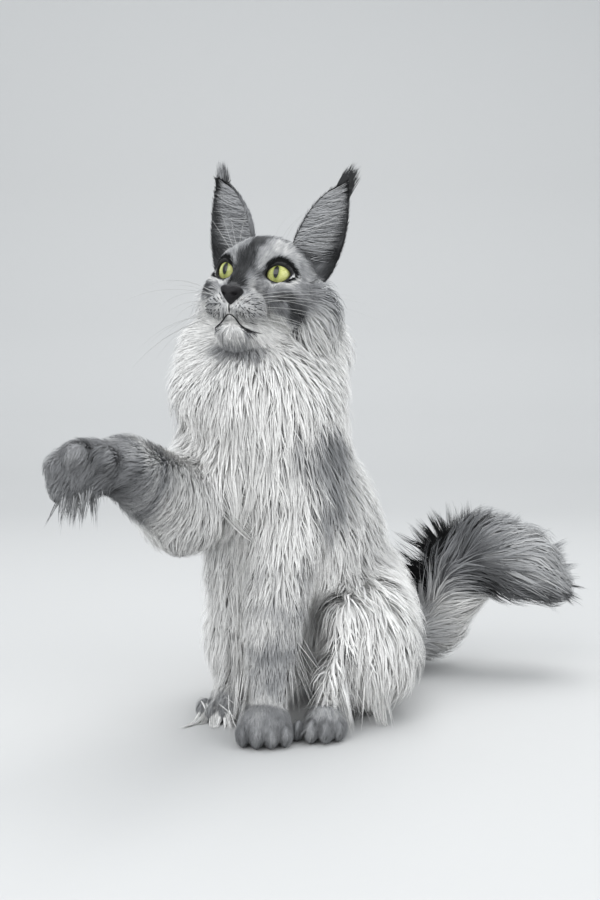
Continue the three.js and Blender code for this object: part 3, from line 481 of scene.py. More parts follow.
def in_threads(work: Callable[[np.ndarray], np.ndarray], points: np.ndarray) -> np.ndarray:
    """Runs a function of points on chunks, side by side.

    Args:
        work: A function from points to one value each.
        points: All the points.

    Returns:
        The values, in the points' order.
    """
    points = np.ascontiguousarray(points, np.float32)
    chunks = [points[i : i + CHUNK] for i in range(0, len(points), CHUNK)] or [points]
    with ThreadPoolExecutor(CORES) as pool:
        return np.concatenate(list(pool.map(work, chunks)))


@dataclass
class Opening:
    """One eye's place, and the almond between its lids."""

    side: int
    at: tuple[float, float, float] = (17.5, 22.5, 8.0)
    radius: float = 13.0
    outward: float = 17.0
    tilt: float = 9.0
    inner: float = 11.6
    outer: float = 10.9
    above: float = 8.4
    below: float = 8.5
    sharpness: float = 1.7

    @property
    def name(self) -> str:
        """Returns the side's name."""
        return "left" if self.side > 0 else "right"

    def centre(self) -> np.ndarray:
        """Returns the eye's middle on the floor frame."""
        return HEAD.outside(np.array([self.at[0], self.side * self.at[1], self.at[2]]))

    def axes(self) -> np.ndarray:
        """Returns rows for the ways out of the socket, away from the nose and up."""
        a, t = math.radians(self.outward), math.radians(self.tilt)
        out = np.array([math.cos(a), self.side * math.sin(a), 0.0])
        away = np.array([-math.sin(a), self.side * math.cos(a), 0.0])
        up = np.array([0.0, 0.0, 1.0])
        away, up = away * math.cos(t) + up * math.sin(t), up * math.cos(t) - away * math.sin(t)
        return HEAD.turned(np.array([out, away, up]))

    def inside(self, points: np.ndarray) -> np.ndarray:
        """Returns the points in the eye's own frame."""
        return (points - self.centre()) @ self.axes().T

    def reach(self, angle: np.ndarray) -> np.ndarray:
        """Returns how far the opening reaches from its middle at each angle from the outer corner."""
        c, s = np.cos(angle), np.sin(angle)
        wide = np.where(c > 0, self.outer, self.inner)
        high = np.where(s > 0, self.above, self.below)
        n = self.sharpness
        return (np.abs(c / wide) ** n + np.abs(s / high) ** n) ** (-1 / n)

    def beyond(self, local: np.ndarray) -> np.ndarray:
        """Returns how far outside the opening's edge each point of the eye's frame is."""
        across = np.hypot(local[:, 1], local[:, 2])
        return across - self.reach(np.arctan2(local[:, 2], local[:, 1]))


EYES = (Opening(1), Opening(-1))


class Body:
    """The cat's shape out to the coat's tips, its skin, and how its coat lies."""

    def __init__(self) -> None:
        """Gathers the coat's tables on one frame."""
        depths = np.array([[v] for _, v in HEAD_DEPTH + FLOOR_DEPTH], np.float32)
        ways = np.vstack([HEAD.turned([v for _, v in HEAD_LIE]), [v for _, v in FLOOR_LIE]])
        self.deep = Scatter(self.places(HEAD_DEPTH, FLOOR_DEPTH), depths, 60.0)
        self.way = Scatter(self.places(HEAD_LIE, FLOOR_LIE), unit(ways).astype(np.float32), 80.0)

    @staticmethod
    def places(head: tuple, floor: tuple) -> np.ndarray:
        """Returns the places of a table's head rows and floor rows on the floor frame."""
        return np.vstack([HEAD.outside([p for p, _ in head]), [p for p, _ in floor]]).astype(np.float32)

    def masses(self, p: np.ndarray) -> np.ndarray:
        """Returns a column of distances for each tract from the head to the tail."""
        local = HEAD.inside(p).astype(p.dtype)
        columns = [HEAD_MASS.distance(local), TRUNK_MASS.distance(p)]
        columns += [mass.distance(p) for mass in LIMBS.values()]
        return np.stack(columns, axis=1)

    def tract(self, p: np.ndarray) -> np.ndarray:
        """Returns the value of the tract that each point is nearest to."""
        return np.argmin(in_threads(self.masses, p), axis=1)

    def outline_here(self, p: np.ndarray) -> np.ndarray:
        """Returns how far each point is outside the coat's tips."""
        columns = self.masses(p)
        whole = join(columns[:, Tract.TRUNK.value], columns[:, Tract.HEAD.value], HEAD_MASS.weld)
        out = whole
        for tract, mass in LIMBS.items():
            out = np.minimum(out, join(whole, columns[:, tract.value], mass.weld))
        return out

    def outline(self, p: np.ndarray) -> np.ndarray:
        """Returns how far many points are outside the coat's tips, found in threads."""
        return in_threads(self.outline_here, p)

    def mouth(self, p: np.ndarray) -> np.ndarray:
        """Returns how far each point is from the line of the mouth."""
        local = HEAD.inside(p)
        out = np.full(len(p), FAR)
        for path in (MOUTH, MOUTH_RIGHT, PHILTRUM):
            for a, b in zip(path, path[1:]):
                out = np.minimum(out, Limb(a, b, *THREAD_RADII).distance(local))
        return out

    def depth(self, p: np.ndarray) -> np.ndarray:
        """Returns how deep the coat is: little at the lids and the lips."""
        out = self.deep.at(p)[:, 0]
        for eye in EYES:
            gap = np.linalg.norm(p - eye.centre(), axis=1)
            out = out * (0.3 + 0.7 * ease(14.0, 27.0, gap))
        near = HEAD.close(p, (50.0, 0.0, -34.0), 45)
        shallow = np.ones(len(p))
        if near.any():
            shallow[near] = 0.35 + 0.65 * ease(3.0, 9.0, self.mouth(p[near]))
        return out * shallow

    def lie(self, p: np.ndarray) -> np.ndarray:
        """Returns the way that the coat lies."""
        return unit(self.way.at(p))

    @staticmethod
    def sunk(depth: np.ndarray) -> np.ndarray:
        """Returns how far the skin lies under the tips where the coat is that deep."""
        return 0.9 * np.minimum(depth, 9.0) + 0.55 * np.maximum(depth - 9.0, 0.0)

    def skin_here(self, p: np.ndarray) -> np.ndarray:
        """Returns how far each point is outside the skin, with the lids' openings cut."""
        out = self.outline_here(p) + self.sunk(self.depth(p))
        near = HEAD.close(p, (20.0, 0.0, 0.0), 80)
        if near.any():
            part, skin = p[near], out[near]
            for eye in EYES:
                far = np.linalg.norm(eye.inside(part), axis=1)
                skin = join(skin, far - eye.radius - LID_WALL, LID_MELT)
            for eye in EYES:
                local = eye.inside(part)
                hole = np.maximum(eye.beyond(local), SOCKET_FLOOR - local[:, 0])
                skin = np.maximum(skin, -hole)
            out[near] = np.maximum(skin, MOUTH_GROOVE - self.mouth(part))
        return out

    def skin(self, p: np.ndarray) -> np.ndarray:
        """Returns how far many points are outside the skin, found in threads."""
        return in_threads(self.skin_here, p)

    def slope(
        self, distance: Callable[[np.ndarray], np.ndarray], p: np.ndarray, step: float = 0.6
    ) -> tuple[np.ndarray, np.ndarray]:
        """Measures a distance and its outward way.

        Args:
            distance: A method of this body from points to distances.
            p: The points.
            step: How far off the way is felt.

        Returns:
            The distances, and outward directions of length 1.
        """
        here = distance(p)
        way = np.stack([distance(p + step * np.eye(3)[i]) - here for i in range(3)], axis=1)
        return here, unit(way)

    def settled(
        self,
        distance: Callable[[np.ndarray], np.ndarray],
        points: np.ndarray,
        under: float,
        most: float,
        times: int,
    ) -> tuple[np.ndarray, np.ndarray]:
        """Moves points until they lie a little under a surface.

        Args:
            distance: A method of this body from points to distances.
            points: Where they start.
            under: How far under the surface they end.
            most: The longest single move.
            times: How many moves.

        Returns:
            The moved points, and the outward ways at them.
        """
        for _ in range(times):
            here, out = self.slope(distance, points)
            points = points - out * np.clip(here + under, -most, most)[:, None]
        return points, out


@dataclass
class Surface:
    """Faces with what the coat needs at each corner point."""

    points: np.ndarray
    faces: np.ndarray
    normals: np.ndarray
    tract: np.ndarray
    depth: np.ndarray
    lie: np.ndarray
    uv: np.ndarray = field(default_factory=lambda: np.zeros(0))


@dataclass
class SkinForm:
    """Finds the skin on a grid that is finer round the head."""

    body: Body
    coarse: float = 3.3
    fine: float = 1.7
    low: tuple[float, float, float] = (-180.0, -165.0, -3.0)
    high: tuple[float, float, float] = (345.0, 295.0, 455.0)
    fine_low: tuple[float, float, float] = (-68.0, -62.0, 338.0)
    fine_high: tuple[float, float, float] = (66.0, 50.0, 448.0)
    every: int = 4
    outside: float = 30.0

    def lines(self, axis: int) -> np.ndarray:
        """Returns the grid's places along one axis."""
        return np.concatenate(
            [
                np.arange(self.low[axis], self.fine_low[axis], self.coarse),
                np.arange(self.fine_low[axis], self.fine_high[axis], self.fine),
                np.arange(self.fine_high[axis], self.high[axis] + self.coarse, self.coarse),
            ]
        )

    def values(self, axes: list[np.ndarray]) -> np.ndarray:
        """Returns the skin's distance at each grid point, exact only near the skin."""
        few = [a[:: self.every] for a in axes]
        rough = self.body.skin(np.stack(np.meshgrid(*few, indexing="ij"), axis=-1).reshape(-1, 3))
        rough = rough.reshape([len(a) for a in few])
        for axis in range(3):
            rough = np.repeat(rough, self.every, axis=axis)
        out = rough[: len(axes[0]), : len(axes[1]), : len(axes[2])].astype(np.float32).copy()
        near = np.argwhere(np.abs(out) < self.every * self.coarse * 2.0)
        spots = np.stack([axes[i][near[:, i]] for i in range(3)], axis=1)
        out[near[:, 0], near[:, 1], near[:, 2]] = self.body.skin(spots)
        return out

    def build(self) -> tuple[np.ndarray, np.ndarray]:
        """Returns the skin's points and its four-cornered faces, facing outwards."""
        axes = [self.lines(i) for i in range(3)]
        grid = openvdb.FloatGrid(self.outside)
        grid.copyFromArray(np.ascontiguousarray(self.values(axes)))
        points, quads = grid.convertToQuads(0.0)
        columns = [np.interp(points[:, i], np.arange(len(lines)), lines) for i, lines in enumerate(axes)]
        points, way = self.body.settled(self.body.skin, np.stack(columns, axis=1), 0.0, 1.2, 2)
        quads = quads.astype(np.int64)
        return points, facing(quads, points, way[quads[:, 0]])


@dataclass
class EarForm:
    """One ear: a thin cup between an inner and an outer edge, drawn up to a point."""

    side: int
    lean: float = 5.0
    cup: float = 20.0
    wall: float = 2.4
    rows: int = 30
    columns: int = 24
    inner: tuple = ((-3, 19, 38), (-4, 30, 86), (-11, 62, 101))
    outer: tuple = ((-10, 53, 12), (-18, 72, 50), (-12, 63.5, 100))
    open_way: tuple = (0.88, 0.46, 0.05)
    tip: float = 0.985
    step: float = 1e-3
    back_depth: float = 3.6
    cup_depth: float = 4.6

    def opening(self) -> np.ndarray:
        """Returns the way that the cup opens, in the head's frame."""
        return unit(np.array([self.open_way[0], self.side * self.open_way[1], self.open_way[2]]))

    def edge(self, corners: tuple, t: np.ndarray) -> np.ndarray:
        """Returns one edge of the ear at shares of its height, in the head's frame."""
        foot, middle, tip = (
            np.array([x, self.side * y - self.lean * i / 2, z], float) for i, (x, y, z) in enumerate(corners)
        )
        t = t[..., None]
        return foot * (1 - t) ** 2 + middle * 2 * t * (1 - t) + tip * t * t

    def at(self, t: np.ndarray, a: np.ndarray, lift: float) -> np.ndarray:
        """Returns points of the cup.

        Args:
            t: Shares of the ear's height.
            a: Shares of the way from the inner edge to the outer one.
            lift: How far in front of the cup's back face.
        """
        inner, outer = self.edge(self.inner, t), self.edge(self.outer, t)
        back = -self.opening()
        deep = self.cup * np.sqrt(np.maximum(1 - t, 0)) * (0.55 + 0.45 * np.minimum(1, 3 * t))
        across = ((1 - np.cos(math.pi * a)) / 2)[..., None]
        fall = ((deep - lift) * np.sin(math.pi * a))[..., None]
        edge_lift = -back * lift * 0.35 * np.abs(np.cos(math.pi * a))[..., None]
        return inner + (outer - inner) * across + back * fall + edge_lift

    def build(self) -> Surface:
        """Returns the ear's closed shell with its coat's depth and lie."""
        grid = np.linspace(0.0, self.tip, self.rows), np.linspace(0, 1, self.columns)
        t, a = np.meshgrid(*grid, indexing="ij")
        points, normals, lies, depths = [], [], [], []
        shells = ((0.0, -self.opening(), self.back_depth), (self.wall, self.opening(), self.cup_depth))
        for lift, toward, depth in shells:
            shell = self.at(t, a, lift)
            up = self.at(t + self.step, a, lift) - shell
            before, after = np.maximum(a - self.step, 0), np.minimum(a + self.step, 1)
            wide = self.at(t, after, lift) - self.at(t, before, lift)
            normal = unit(np.cross(up, wide))
            lie = unit(unit(up) * 0.9 + unit(wide) * 0.55) if lift else unit(up)
            points.append(shell.reshape(-1, 3))
            normals.append((normal * np.sign(dot(normal, toward) + 1e-9)[..., None]).reshape(-1, 3))
            lies.append(lie.reshape(-1, 3))
            depths.append(np.full(t.size, depth))
        idx = np.arange(t.size).reshape(t.shape)
        back = np.stack([idx[:-1, :-1], idx[1:, :-1], idx[1:, 1:], idx[:-1, 1:]], axis=-1).reshape(-1, 4)
        rim = np.concatenate([idx[:, 0], idx[-1, 1:], idx[-2::-1, -1], idx[0, -2:0:-1]])
        nxt = np.roll(rim, -1)
        wall = np.stack([rim, rim + t.size, nxt + t.size, nxt], axis=-1)
        faces = np.concatenate([back, back[:, ::-1] + t.size, wall])
        pts = np.concatenate(points)
        return Surface(
            HEAD.outside(pts),
            faces if signed_volume(pts, faces) >= 0 else faces[:, ::-1],
            HEAD.turned(np.concatenate(normals)),
            np.full(len(pts), Tract.EARS.value),
            np.concatenate(depths),
            HEAD.turned(np.concatenate(lies)),
        )


def signed_volume(points: np.ndarray, quads: np.ndarray) -> float:
    """Returns the volume inside four-cornered faces: below 0 where they face in."""
    a, b, c, d = (points[quads[:, i]] for i in range(4))
    return float((dot(a, np.cross(b, c)) + dot(a, np.cross(c, d))).sum())


def facing(faces: np.ndarray, points: np.ndarray, out: np.ndarray) -> np.ndarray:
    """Returns the faces, all turned round when they face in.

    Args:
        faces: Rows of corners.
        points: The corners' places.
        out: An outward way at each face.
    """
    a, b, c = (points[faces[:, i]] for i in range(3))
    return faces if dot(np.cross(b - a, c - a), out).sum() >= 0 else faces[:, ::-1]


def capped(rows: int, around: int) -> np.ndarray:
    """Returns the triangles of rows of points that close round, with a fan at each end.

    The points at the middle of the first fan and of the last one come after the rows.

    Args:
        rows: How many rows there are.
        around: How many points a row has.
    """
    idx = np.arange(rows * around).reshape(rows, around)
    nxt = np.roll(idx, -1, axis=1)
    tris, _ = triangles_of(np.stack([idx[:-1], idx[1:], nxt[1:], nxt[:-1]], axis=-1).reshape(-1, 4))
    first = np.stack([np.full(around, rows * around), idx[0], nxt[0]], axis=-1)
    last = np.stack([np.full(around, rows * around + 1), nxt[-1], idx[-1]], axis=-1)
    return np.concatenate([tris, first, last])


def ripple(p: np.ndarray, size: float, seed: int) -> np.ndarray:
    """Returns a smooth, seeded unevenness of about -1 to 1.

    Args:
        p: Points.
        size: About how wide one swell is.
        seed: Which unevenness it is.
    """
    rng = np.random.default_rng(seed)
    ways = unit(rng.normal(size=(7, 3))) * (2 * math.pi / size) * rng.uniform(0.6, 1.5, (7, 1))
    return np.sin(p @ ways.T + rng.uniform(0, ANY_TURN, 7)).sum(axis=1) / 2.6


def sway(p: np.ndarray, size: float, seeds: tuple[int, int, int]) -> np.ndarray:
    """Returns a smooth, seeded shift of each point, of about 1 each way.

    Args:
        p: Points.
        size: About how wide one swell is.
        seeds: The unevenness along each axis.
    """
    return np.stack([ripple(p, size, seed) for seed in seeds], axis=1)


@dataclass(frozen=True)
class Patch:
    """A soft-edged patch of one grey on the coat and the skin below it."""

    place: Place
    centre: tuple[float, float, float]
    reach: tuple[float, float, float]
    tone: float
    strength: float = 1.0
    edge: float = 0.45


WHITE_COAT = 0.82
DEEPEN = 1.45
DARKEST, PALEST = 0.005, 0.9
LID_TONE = 0.006
PALE_LID_TONE = 0.6
LIP_TONE = 0.012
SPOT_SHARE = 0.12
LOCK_HASH = (73856093, 19349663, 83492791)
H, F = Place.HEAD, Place.FLOOR
PATCHES = (
    Patch(H, (8, 0, 16), (62, 66, 46), 0.36, 0.85),
    Patch(H, (-6, 30, 40), (26, 22, 14), 0.2, 0.8),
    Patch(H, (-6, -30, 40), (26, 22, 14), 0.22, 0.7),
    Patch(H, (12, 2, 40), (16, 26, 9), 0.2, 0.75),
    Patch(H, (22, 20, 29), (14, 14, 11), 0.62, 0.9),
    Patch(H, (26, -20, 26), (12, 11, 10), 0.5, 0.8),
    Patch(H, (31, 9, 14), (10, 5, 10), 0.55, 0.7),
    Patch(H, (27, 1, 31), (16, 8.5, 14), 0.12, 0.92),
    Patch(H, (36, -2, 16), (14, 9, 14), 0.11, 0.94),
    Patch(H, (46, -2, 1), (16, 9.5, 13), 0.09, 0.95),
    Patch(H, (56, 0, -9), (10, 10, 9), 0.06, 0.96),
    Patch(H, (26, 34, -13), (16, 15, 9), 0.1, 0.95),
    Patch(H, (19, 43, -22), (14, 11, 7), 0.09, 0.95),
    Patch(H, (8, 46, -44), (26, 20, 14), 0.75, 0.8),
    Patch(H, (27, -34, -8), (13, 9, 8), 0.1, 0.9),
    Patch(H, (12, 48, -2), (20, 14, 12), 0.3, 0.8),
    Patch(H, (46, 14, -28), (15, 13, 11), 0.5, 0.85),
    Patch(H, (46, -14, -28), (15, 13, 11), 0.45, 0.85),
    Patch(H, (34, 0, -58), (24, 24, 9), 0.26, 0.85),
    Patch(H, (46, 0, -50), (14, 20, 8), 0.5, 0.6),
    Patch(H, (-14, 58, 4), (10, 12, 14), 0.07, 0.9),
    Patch(H, (-14, -58, 4), (10, 12, 14), 0.12, 0.8),
    Patch(F, (48, -2, 270), (24, 50, 20), 0.24, 0.8, 0.6),
    Patch(F, (56, 8, 226), (15, 50, 34), 0.25, 0.8, 0.6),
    Patch(F, (0, -44, 272), (28, 30, 12), 0.42, 0.6, 0.6),
    Patch(F, (12, -38, 236), (30, 30, 28), 0.48, 0.6, 0.6),
    Patch(F, (-66, 6, 188), (30, 40, 40), 0.44, 0.6, 0.6),
    Patch(F, (8, -14, 76), (24, 24, 26), 0.3, 0.7, 0.6),
    Patch(F, (74, 60, 225), (20, 50, 60), 0.68, 0.6),
    Patch(F, (76, 110, 165), (26, 60, 30), 0.46, 0.6),
    Patch(F, (24, 140, 240), (48, 46, 90), 0.26, 0.75),
    Patch(F, (70, 190, 130), (60, 50, 70), 0.24, 0.7),
    Patch(F, (16, 22, 120), (26, 40, 44), 0.42, 0.5),
    Patch(F, (0, -14, 10), (36, 36, 30), 0.28, 0.9, 0.5),
    Patch(F, (54, 0, 10), (38, 36, 26), 0.28, 0.9, 0.5),
    Patch(F, (-44, 54, 12), (28, 26, 18), 0.24, 0.8),
    Patch(F, (-106, -72, 238), (34, 50, 34), 0.3, 0.8),
    Patch(F, (-134, -116, 251), (44, 40, 38), 0.2, 0.85),
    Patch(F, (-136, -132, 222), (30, 30, 14), 0.42, 0.7),
    Patch(F, (128, 226, 44), (46, 40, 40), 0.38, 0.75),
    Patch(F, (250, 228, 122), (78, 60, 60), 0.42, 0.8),
    Patch(F, (322, 216, 96), (26, 50, 40), 0.22, 0.8),
    Patch(F, (156, 226, 128), (32, 60, 54), 0.05, 0.98, 0.35),
    Patch(F, (176, 236, 170), (30, 60, 34), 0.05, 0.97),
    # Painted shade: these three patches darken the inner curve under the tail's arch and the underside of its
    # brush.
    Patch(F, (206, 210, 118), (18, 40, 30), 0.16, 0.85),
    Patch(F, (230, 214, 92), (50, 34, 18), 0.16, 0.85),
    Patch(F, (276, 222, 78), (56, 50, 26), 0.18, 0.85),
)


@dataclass
class Markings:
    """The coat's greys, found from where a root stands."""

    body: Body

    def tone(self, p: np.ndarray, ear: np.ndarray) -> np.ndarray:
        """Returns a linear grey for each point.

        Args:
            p: Points on the skin or the ears.
            ear: Which of them are on the ears.
        """
        head = HEAD.inside(p)
        warped = p + sway(p, 26, (1, 2, 3)) * 3.0
        warped_head = head + sway(head, 13, (4, 5, 6)) * 2.0
        out = np.full(len(p), WHITE_COAT) * (1 + 0.05 * ripple(p, 40, 8))
        for patch in PATCHES:
            q = warped_head if patch.place is Place.HEAD else warped
            far = np.linalg.norm((q - np.array(patch.centre)) / np.array(patch.reach), axis=1)
            mix = patch.strength * (1 - ease(1 - patch.edge, 1 + patch.edge, far))
            out = out * (1 - mix) + patch.tone**DEEPEN * mix
        out = self.bands(p, out)
        out = self.face_lines(p, head, out)
        return np.clip(np.where(ear, self.ear_tone(head), out), DARKEST, PALEST)

    def bands(self, p: np.ndarray, tone: np.ndarray) -> np.ndarray:
        """Returns the greys with faint bands across the forelegs."""
        near = self.body.tract(p)
        left = (near == Tract.LEFT_FORELEG.value) & (p[:, 2] < 175)
        wave = np.sin(p[:, 2] / 6.2 + 0.8 * ripple(p, 40, 21))
        tone = np.where(left, tone * (1 - 0.28 * ease(0.2, 0.9, wave)), tone)
        along = dot(p - np.array([-72, 0, 206]), unit(np.array([-62, -116, 45.0])))
        right = (near == Tract.RIGHT_FORELEG.value) & (along > 25)
        wave = np.sin(along / 5.6 + 0.9 * ripple(p, 34, 22))
        return np.where(right, tone * (1 - 0.42 * ease(0.1, 0.9, wave) * ease(28.0, 60.0, along)), tone)

    def face_lines(self, p: np.ndarray, head: np.ndarray, tone: np.ndarray) -> np.ndarray:
        """Returns the greys with the face's streaks, lids and lips and the whisker pads' spots.

        Args:
            p: Points on the floor frame.
            head: The same points in the head's frame.
            tone: Their greys so far.
        """
        near = HEAD.close(p, (25.0, 0.0, -5.0), 80)
        if not near.any():
            return tone
        part, local, mine = p[near], head[near], tone[near]
        mine = mine * (1 + 0.18 * ripple(local * np.array([0.25, 1.0, 0.6]), 4.2, 31))
        for eye in EYES:
            mine = self.lids(eye, part, mine)
        mine = mine + (LIP_TONE - mine) * (1 - ease(3.7, 5.6, self.body.mouth(part)))
        tone = tone.copy()
        tone[near] = np.where(self.spots(local), mine * SPOT_SHARE, mine)
        return tone

    @staticmethod
    def lids(eye: Opening, p: np.ndarray, tone: np.ndarray) -> np.ndarray:
        """Returns the greys with one eye's dark rim and inner corner, and the pale coat below it."""
        local = eye.inside(p)
        gap, front = eye.beyond(local), local[:, 0] > 0
        high = ease(-3.0, 3.0, local[:, 2])
        rim = (1 - ease(0.3 + 2.6 * high, 1.4 + 3.8 * high, gap)) * front
        corner = np.abs(local[:, 2] + 2.0) + np.maximum(-local[:, 1] - 19, 0)
        inner = (1 - ease(0.0, 7.0, corner)) * front * (local[:, 1] < -10)
        pale = (1 - high) * ease(0.8, 1.6, gap) * (1 - ease(3.6, 6.0, gap)) * front
        tone = tone + (PALE_LID_TONE - tone) * pale
        return tone + (LID_TONE - tone) * np.maximum(rim, inner * 0.9)

    @staticmethod
    def spots(head: np.ndarray) -> np.ndarray:
        """Returns which head points are in the rows of dark spots on the whisker pads."""
        x, y, z = head[:, 0], np.abs(head[:, 1]), head[:, 2]
        pad = (x > 36) & (y > 5) & (z < -18) & (z > -38)
        row = np.sin(z * 1.35 + 0.4) * np.sin(y * 1.15 + np.floor(z / 4.6) * 1.6)
        return pad & (row > 0.55)

    def ear_tone(self, head: np.ndarray) -> np.ndarray:
        """Returns the ears' greys: dark at the tips, the edges and the outer foot."""
        side = np.sign(head[:, 1])
        high = head[:, 2]
        out = 0.15 + 0.03 * ripple(head, 12, 41)
        outer = ease(44, 62, np.abs(head[:, 1]) - 0.09 * (high - 20))
        out = out * (1 - 0.65 * outer * ease(20, 60, high))
        out = out * (1 - 0.72 * ease(74, 92, high))
        foot = (1 - ease(14, 30, np.abs(high - 22))) * ease(40, 52, np.abs(head[:, 1]))
        out = out * (1 - 0.7 * foot)
        return out * np.where(side > 0, 0.85, 1.12)


def triangles_of(quads: np.ndarray) -> tuple[np.ndarray, np.ndarray]:
    """Returns two triangles for each face, and which face's corners they use."""
    corners = np.array([[0, 1, 2], [0, 2, 3]])
    tris = quads[:, corners].reshape(-1, 3)
    where = (np.arange(len(quads))[:, None, None] * 4 + corners[None]).reshape(-1, 3)
    return tris, where


@dataclass
class Unwrap:
    """Lays the skin out flat: one sheet for each tract and each way it faces."""

    margin: float = 6.0
    spare: float = 1.12

    def build(self, surface: Surface) -> np.ndarray:
        """Returns a place on the square for each corner of each face.

        Args:
            surface: The skin with the ears.
        """
        pts, quads = surface.points, surface.faces
        a, b, c, d = (pts[quads[:, i]] for i in range(4))
        normal = np.cross(c - a, d - b)
        axis = np.argmax(np.abs(normal), axis=1)
        sign = np.take_along_axis(normal, axis[:, None], 1)[:, 0] > 0
        tract = surface.tract[quads[:, 0]]
        ear = (tract == Tract.EARS.value) & (a[:, 0] > HEAD.centre[0])
        sheet = (tract * 2 + ear) * 6 + axis * 2 + sign
        keep = np.array([[1, 2], [0, 2], [0, 1]])[axis]
        flat = np.take_along_axis(pts[quads], np.repeat(keep[:, None, :], 4, axis=1), axis=2)
        boxes = []
        for s in np.unique(sheet):
            mine = flat[sheet == s].reshape(-1, 2)
            low, size = mine.min(axis=0), np.ptp(mine, axis=0) + self.margin
            boxes.append((float(size[1]), int(s), low, size))
        boxes.sort(key=lambda box: -box[0])
        wide = math.sqrt(sum(float(size[0] * size[1]) for *_, size in boxes)) * self.spare
        x = y = tall = 0.0
        out = np.zeros((len(quads), 4, 2))
        for high, s, low, size in boxes:
            if x + size[0] > wide:
                x, y, tall = 0.0, y + tall, 0.0
            tall = max(tall, high)
            out[sheet == s] = flat[sheet == s] - low + np.array([x, y]) + self.margin / 2
            x += float(size[0])
        return out / max(wide, y + tall)


def placed(name: str, data: bpy.types.ID) -> bpy.types.Object:
    """Returns a new object in the scene."""
    obj = bpy.data.objects.new(name, data)
    bpy.context.scene.collection.objects.link(obj)
    return obj


def make_mesh(name: str, points: np.ndarray, faces: np.ndarray) -> bpy.types.Object:
    """Makes a smooth object from millimetre points.

    Args:
        name: The piece's name.
        points: Its points.
        faces: Rows of three or four corners.

    Returns:
        The new object, linked to the scene.
    """
    mesh = bpy.data.meshes.new(name)
    count, sides = faces.shape
    mesh.vertices.add(len(points))
    mesh.vertices.foreach_set("co", (points * METRE).astype(np.float32).ravel())
    mesh.loops.add(count * sides)
    mesh.loops.foreach_set("vertex_index", faces.astype(np.int32).ravel())
    mesh.polygons.add(count)
    mesh.polygons.foreach_set("loop_start", np.arange(0, count * sides, sides, dtype=np.int32))
    mesh.update(calc_edges=True)
    mesh.shade_smooth()
    return placed(name, mesh)


def paint(obj: bpy.types.Object, colours: np.ndarray) -> None:
    """Gives each point of a piece its colour."""
    rgba = np.concatenate([colours, np.ones((len(colours), 1))], axis=1).astype(np.float32)
    layer = obj.data.attributes.new(SHADE, "FLOAT_COLOR", "POINT")
    layer.data.foreach_set("color", rgba.ravel())


def lay_out(obj: bpy.types.Object, places: np.ndarray, name: str = BAKE_MAP) -> None:
    """Gives each face corner of a piece its place on a map."""
    layer = obj.data.uv_layers.new(name=name)
    layer.uv.foreach_set("vector", places.astype(np.float32).ravel())


def silver(tone: np.ndarray) -> np.ndarray:
    """Returns greys as colours: a little warm where pale and cool where dark."""
    warm = ease(0.1, 0.7, tone)[:, None]
    tint = np.array([[0.985, 1.0, 1.03]]) * (1 - warm) + np.array([[1.01, 1.0, 0.975]]) * warm
    return tone[:, None] * tint


@dataclass
class Strands:
    """Tufts as lines from the root to the tip, with their widths, greys and places on the map."""

    lines: np.ndarray
    normals: np.ndarray
    half: np.ndarray
    tone: np.ndarray
    uv: np.ndarray
    thick: float = 0.3
    softness: float = 0.8

    TAPER = {3: (1.0, 0.8), 4: (0.85, 1.0, 0.62), 5: (0.8, 1.0, 0.86, 0.5)}

    def build(self, name: str) -> bpy.types.Object:
        """Returns one joined mesh of three-sided, pointed tufts."""
        n, k = self.lines.shape[:2]
        ways = np.gradient(self.lines, axis=1)
        side = unit(np.cross(ways, self.normals))
        top = unit(np.cross(side, ways))
        rings = []
        for i, share in enumerate(self.TAPER[k]):
            w = (self.half * share)[:, None]
            centre, wide, high = self.lines[:, i], side[:, i] * w, top[:, i] * w * self.thick * 2
            rings.append(np.stack([centre - wide, centre + wide, centre + high], axis=1))
        points = np.concatenate([*rings, self.lines[:, -1:, :]], axis=1)
        per = points.shape[1]
        faces = []
        for i in range(k - 2):
            for j in range(3):
                a, b = 3 * i + j, 3 * i + (j + 1) % 3
                faces += [(a, b + 3, b), (a, a + 3, b + 3)]
        last = 3 * (k - 2)
        faces += [(last + (j + 1) % 3, last + j, per - 1) for j in range(3)]
        faces = np.array(faces)
        all_faces = (np.arange(n)[:, None, None] * per + faces[None]).reshape(-1, 3)
        points[..., 2] = np.maximum(points[..., 2], GROUND)
        obj = make_mesh(name, points.reshape(-1, 3), all_faces)
        around = np.stack([-side[:, :-1], side[:, :-1], top[:, :-1]], axis=2).reshape(n, -1, 3)
        around = np.concatenate([around, top[:, -1:]], axis=1)
        out = np.concatenate([np.repeat(self.normals[:, :-1], 3, axis=1), self.normals[:, -1:]], axis=1)
        soft = unit(around * (1 - self.softness) + unit(out) * self.softness).reshape(-1, 3)
        obj.data.normals_split_custom_set_from_vertices(soft.astype(np.float32))
        level = np.concatenate([np.repeat(np.arange(k - 1), 3), [k - 1]])
        paint(obj, silver(self.tone[:, level].reshape(-1)))
        across = np.concatenate([np.tile([0.0, 1.0, 0.5], k - 1), [0.5]])
        local = np.stack([across, level / (k - 1)], axis=1) - 0.5
        places = self.uv[:, None, None, :] + BAKE_PATCH * local[faces][None]
        lay_out(obj, places.reshape(-1, 2))
        return obj

    def cut(self, keep: np.ndarray) -> "Strands":
        """Returns only the tufts that are kept."""
        return Strands(
            self.lines[keep], self.normals[keep], self.half[keep], self.tone[keep], self.uv[keep], self.thick
        )


COAT_BANDS = ((0.0, 7.5, 2), (7.5, 19.0, 3), (19.0, 99.0, 4))
Roots = dict[str, np.ndarray]


def chosen(roots: Roots, keep: np.ndarray) -> Roots:
    """Returns only the roots that are kept."""
    return {key: value[keep] for key, value in roots.items()}


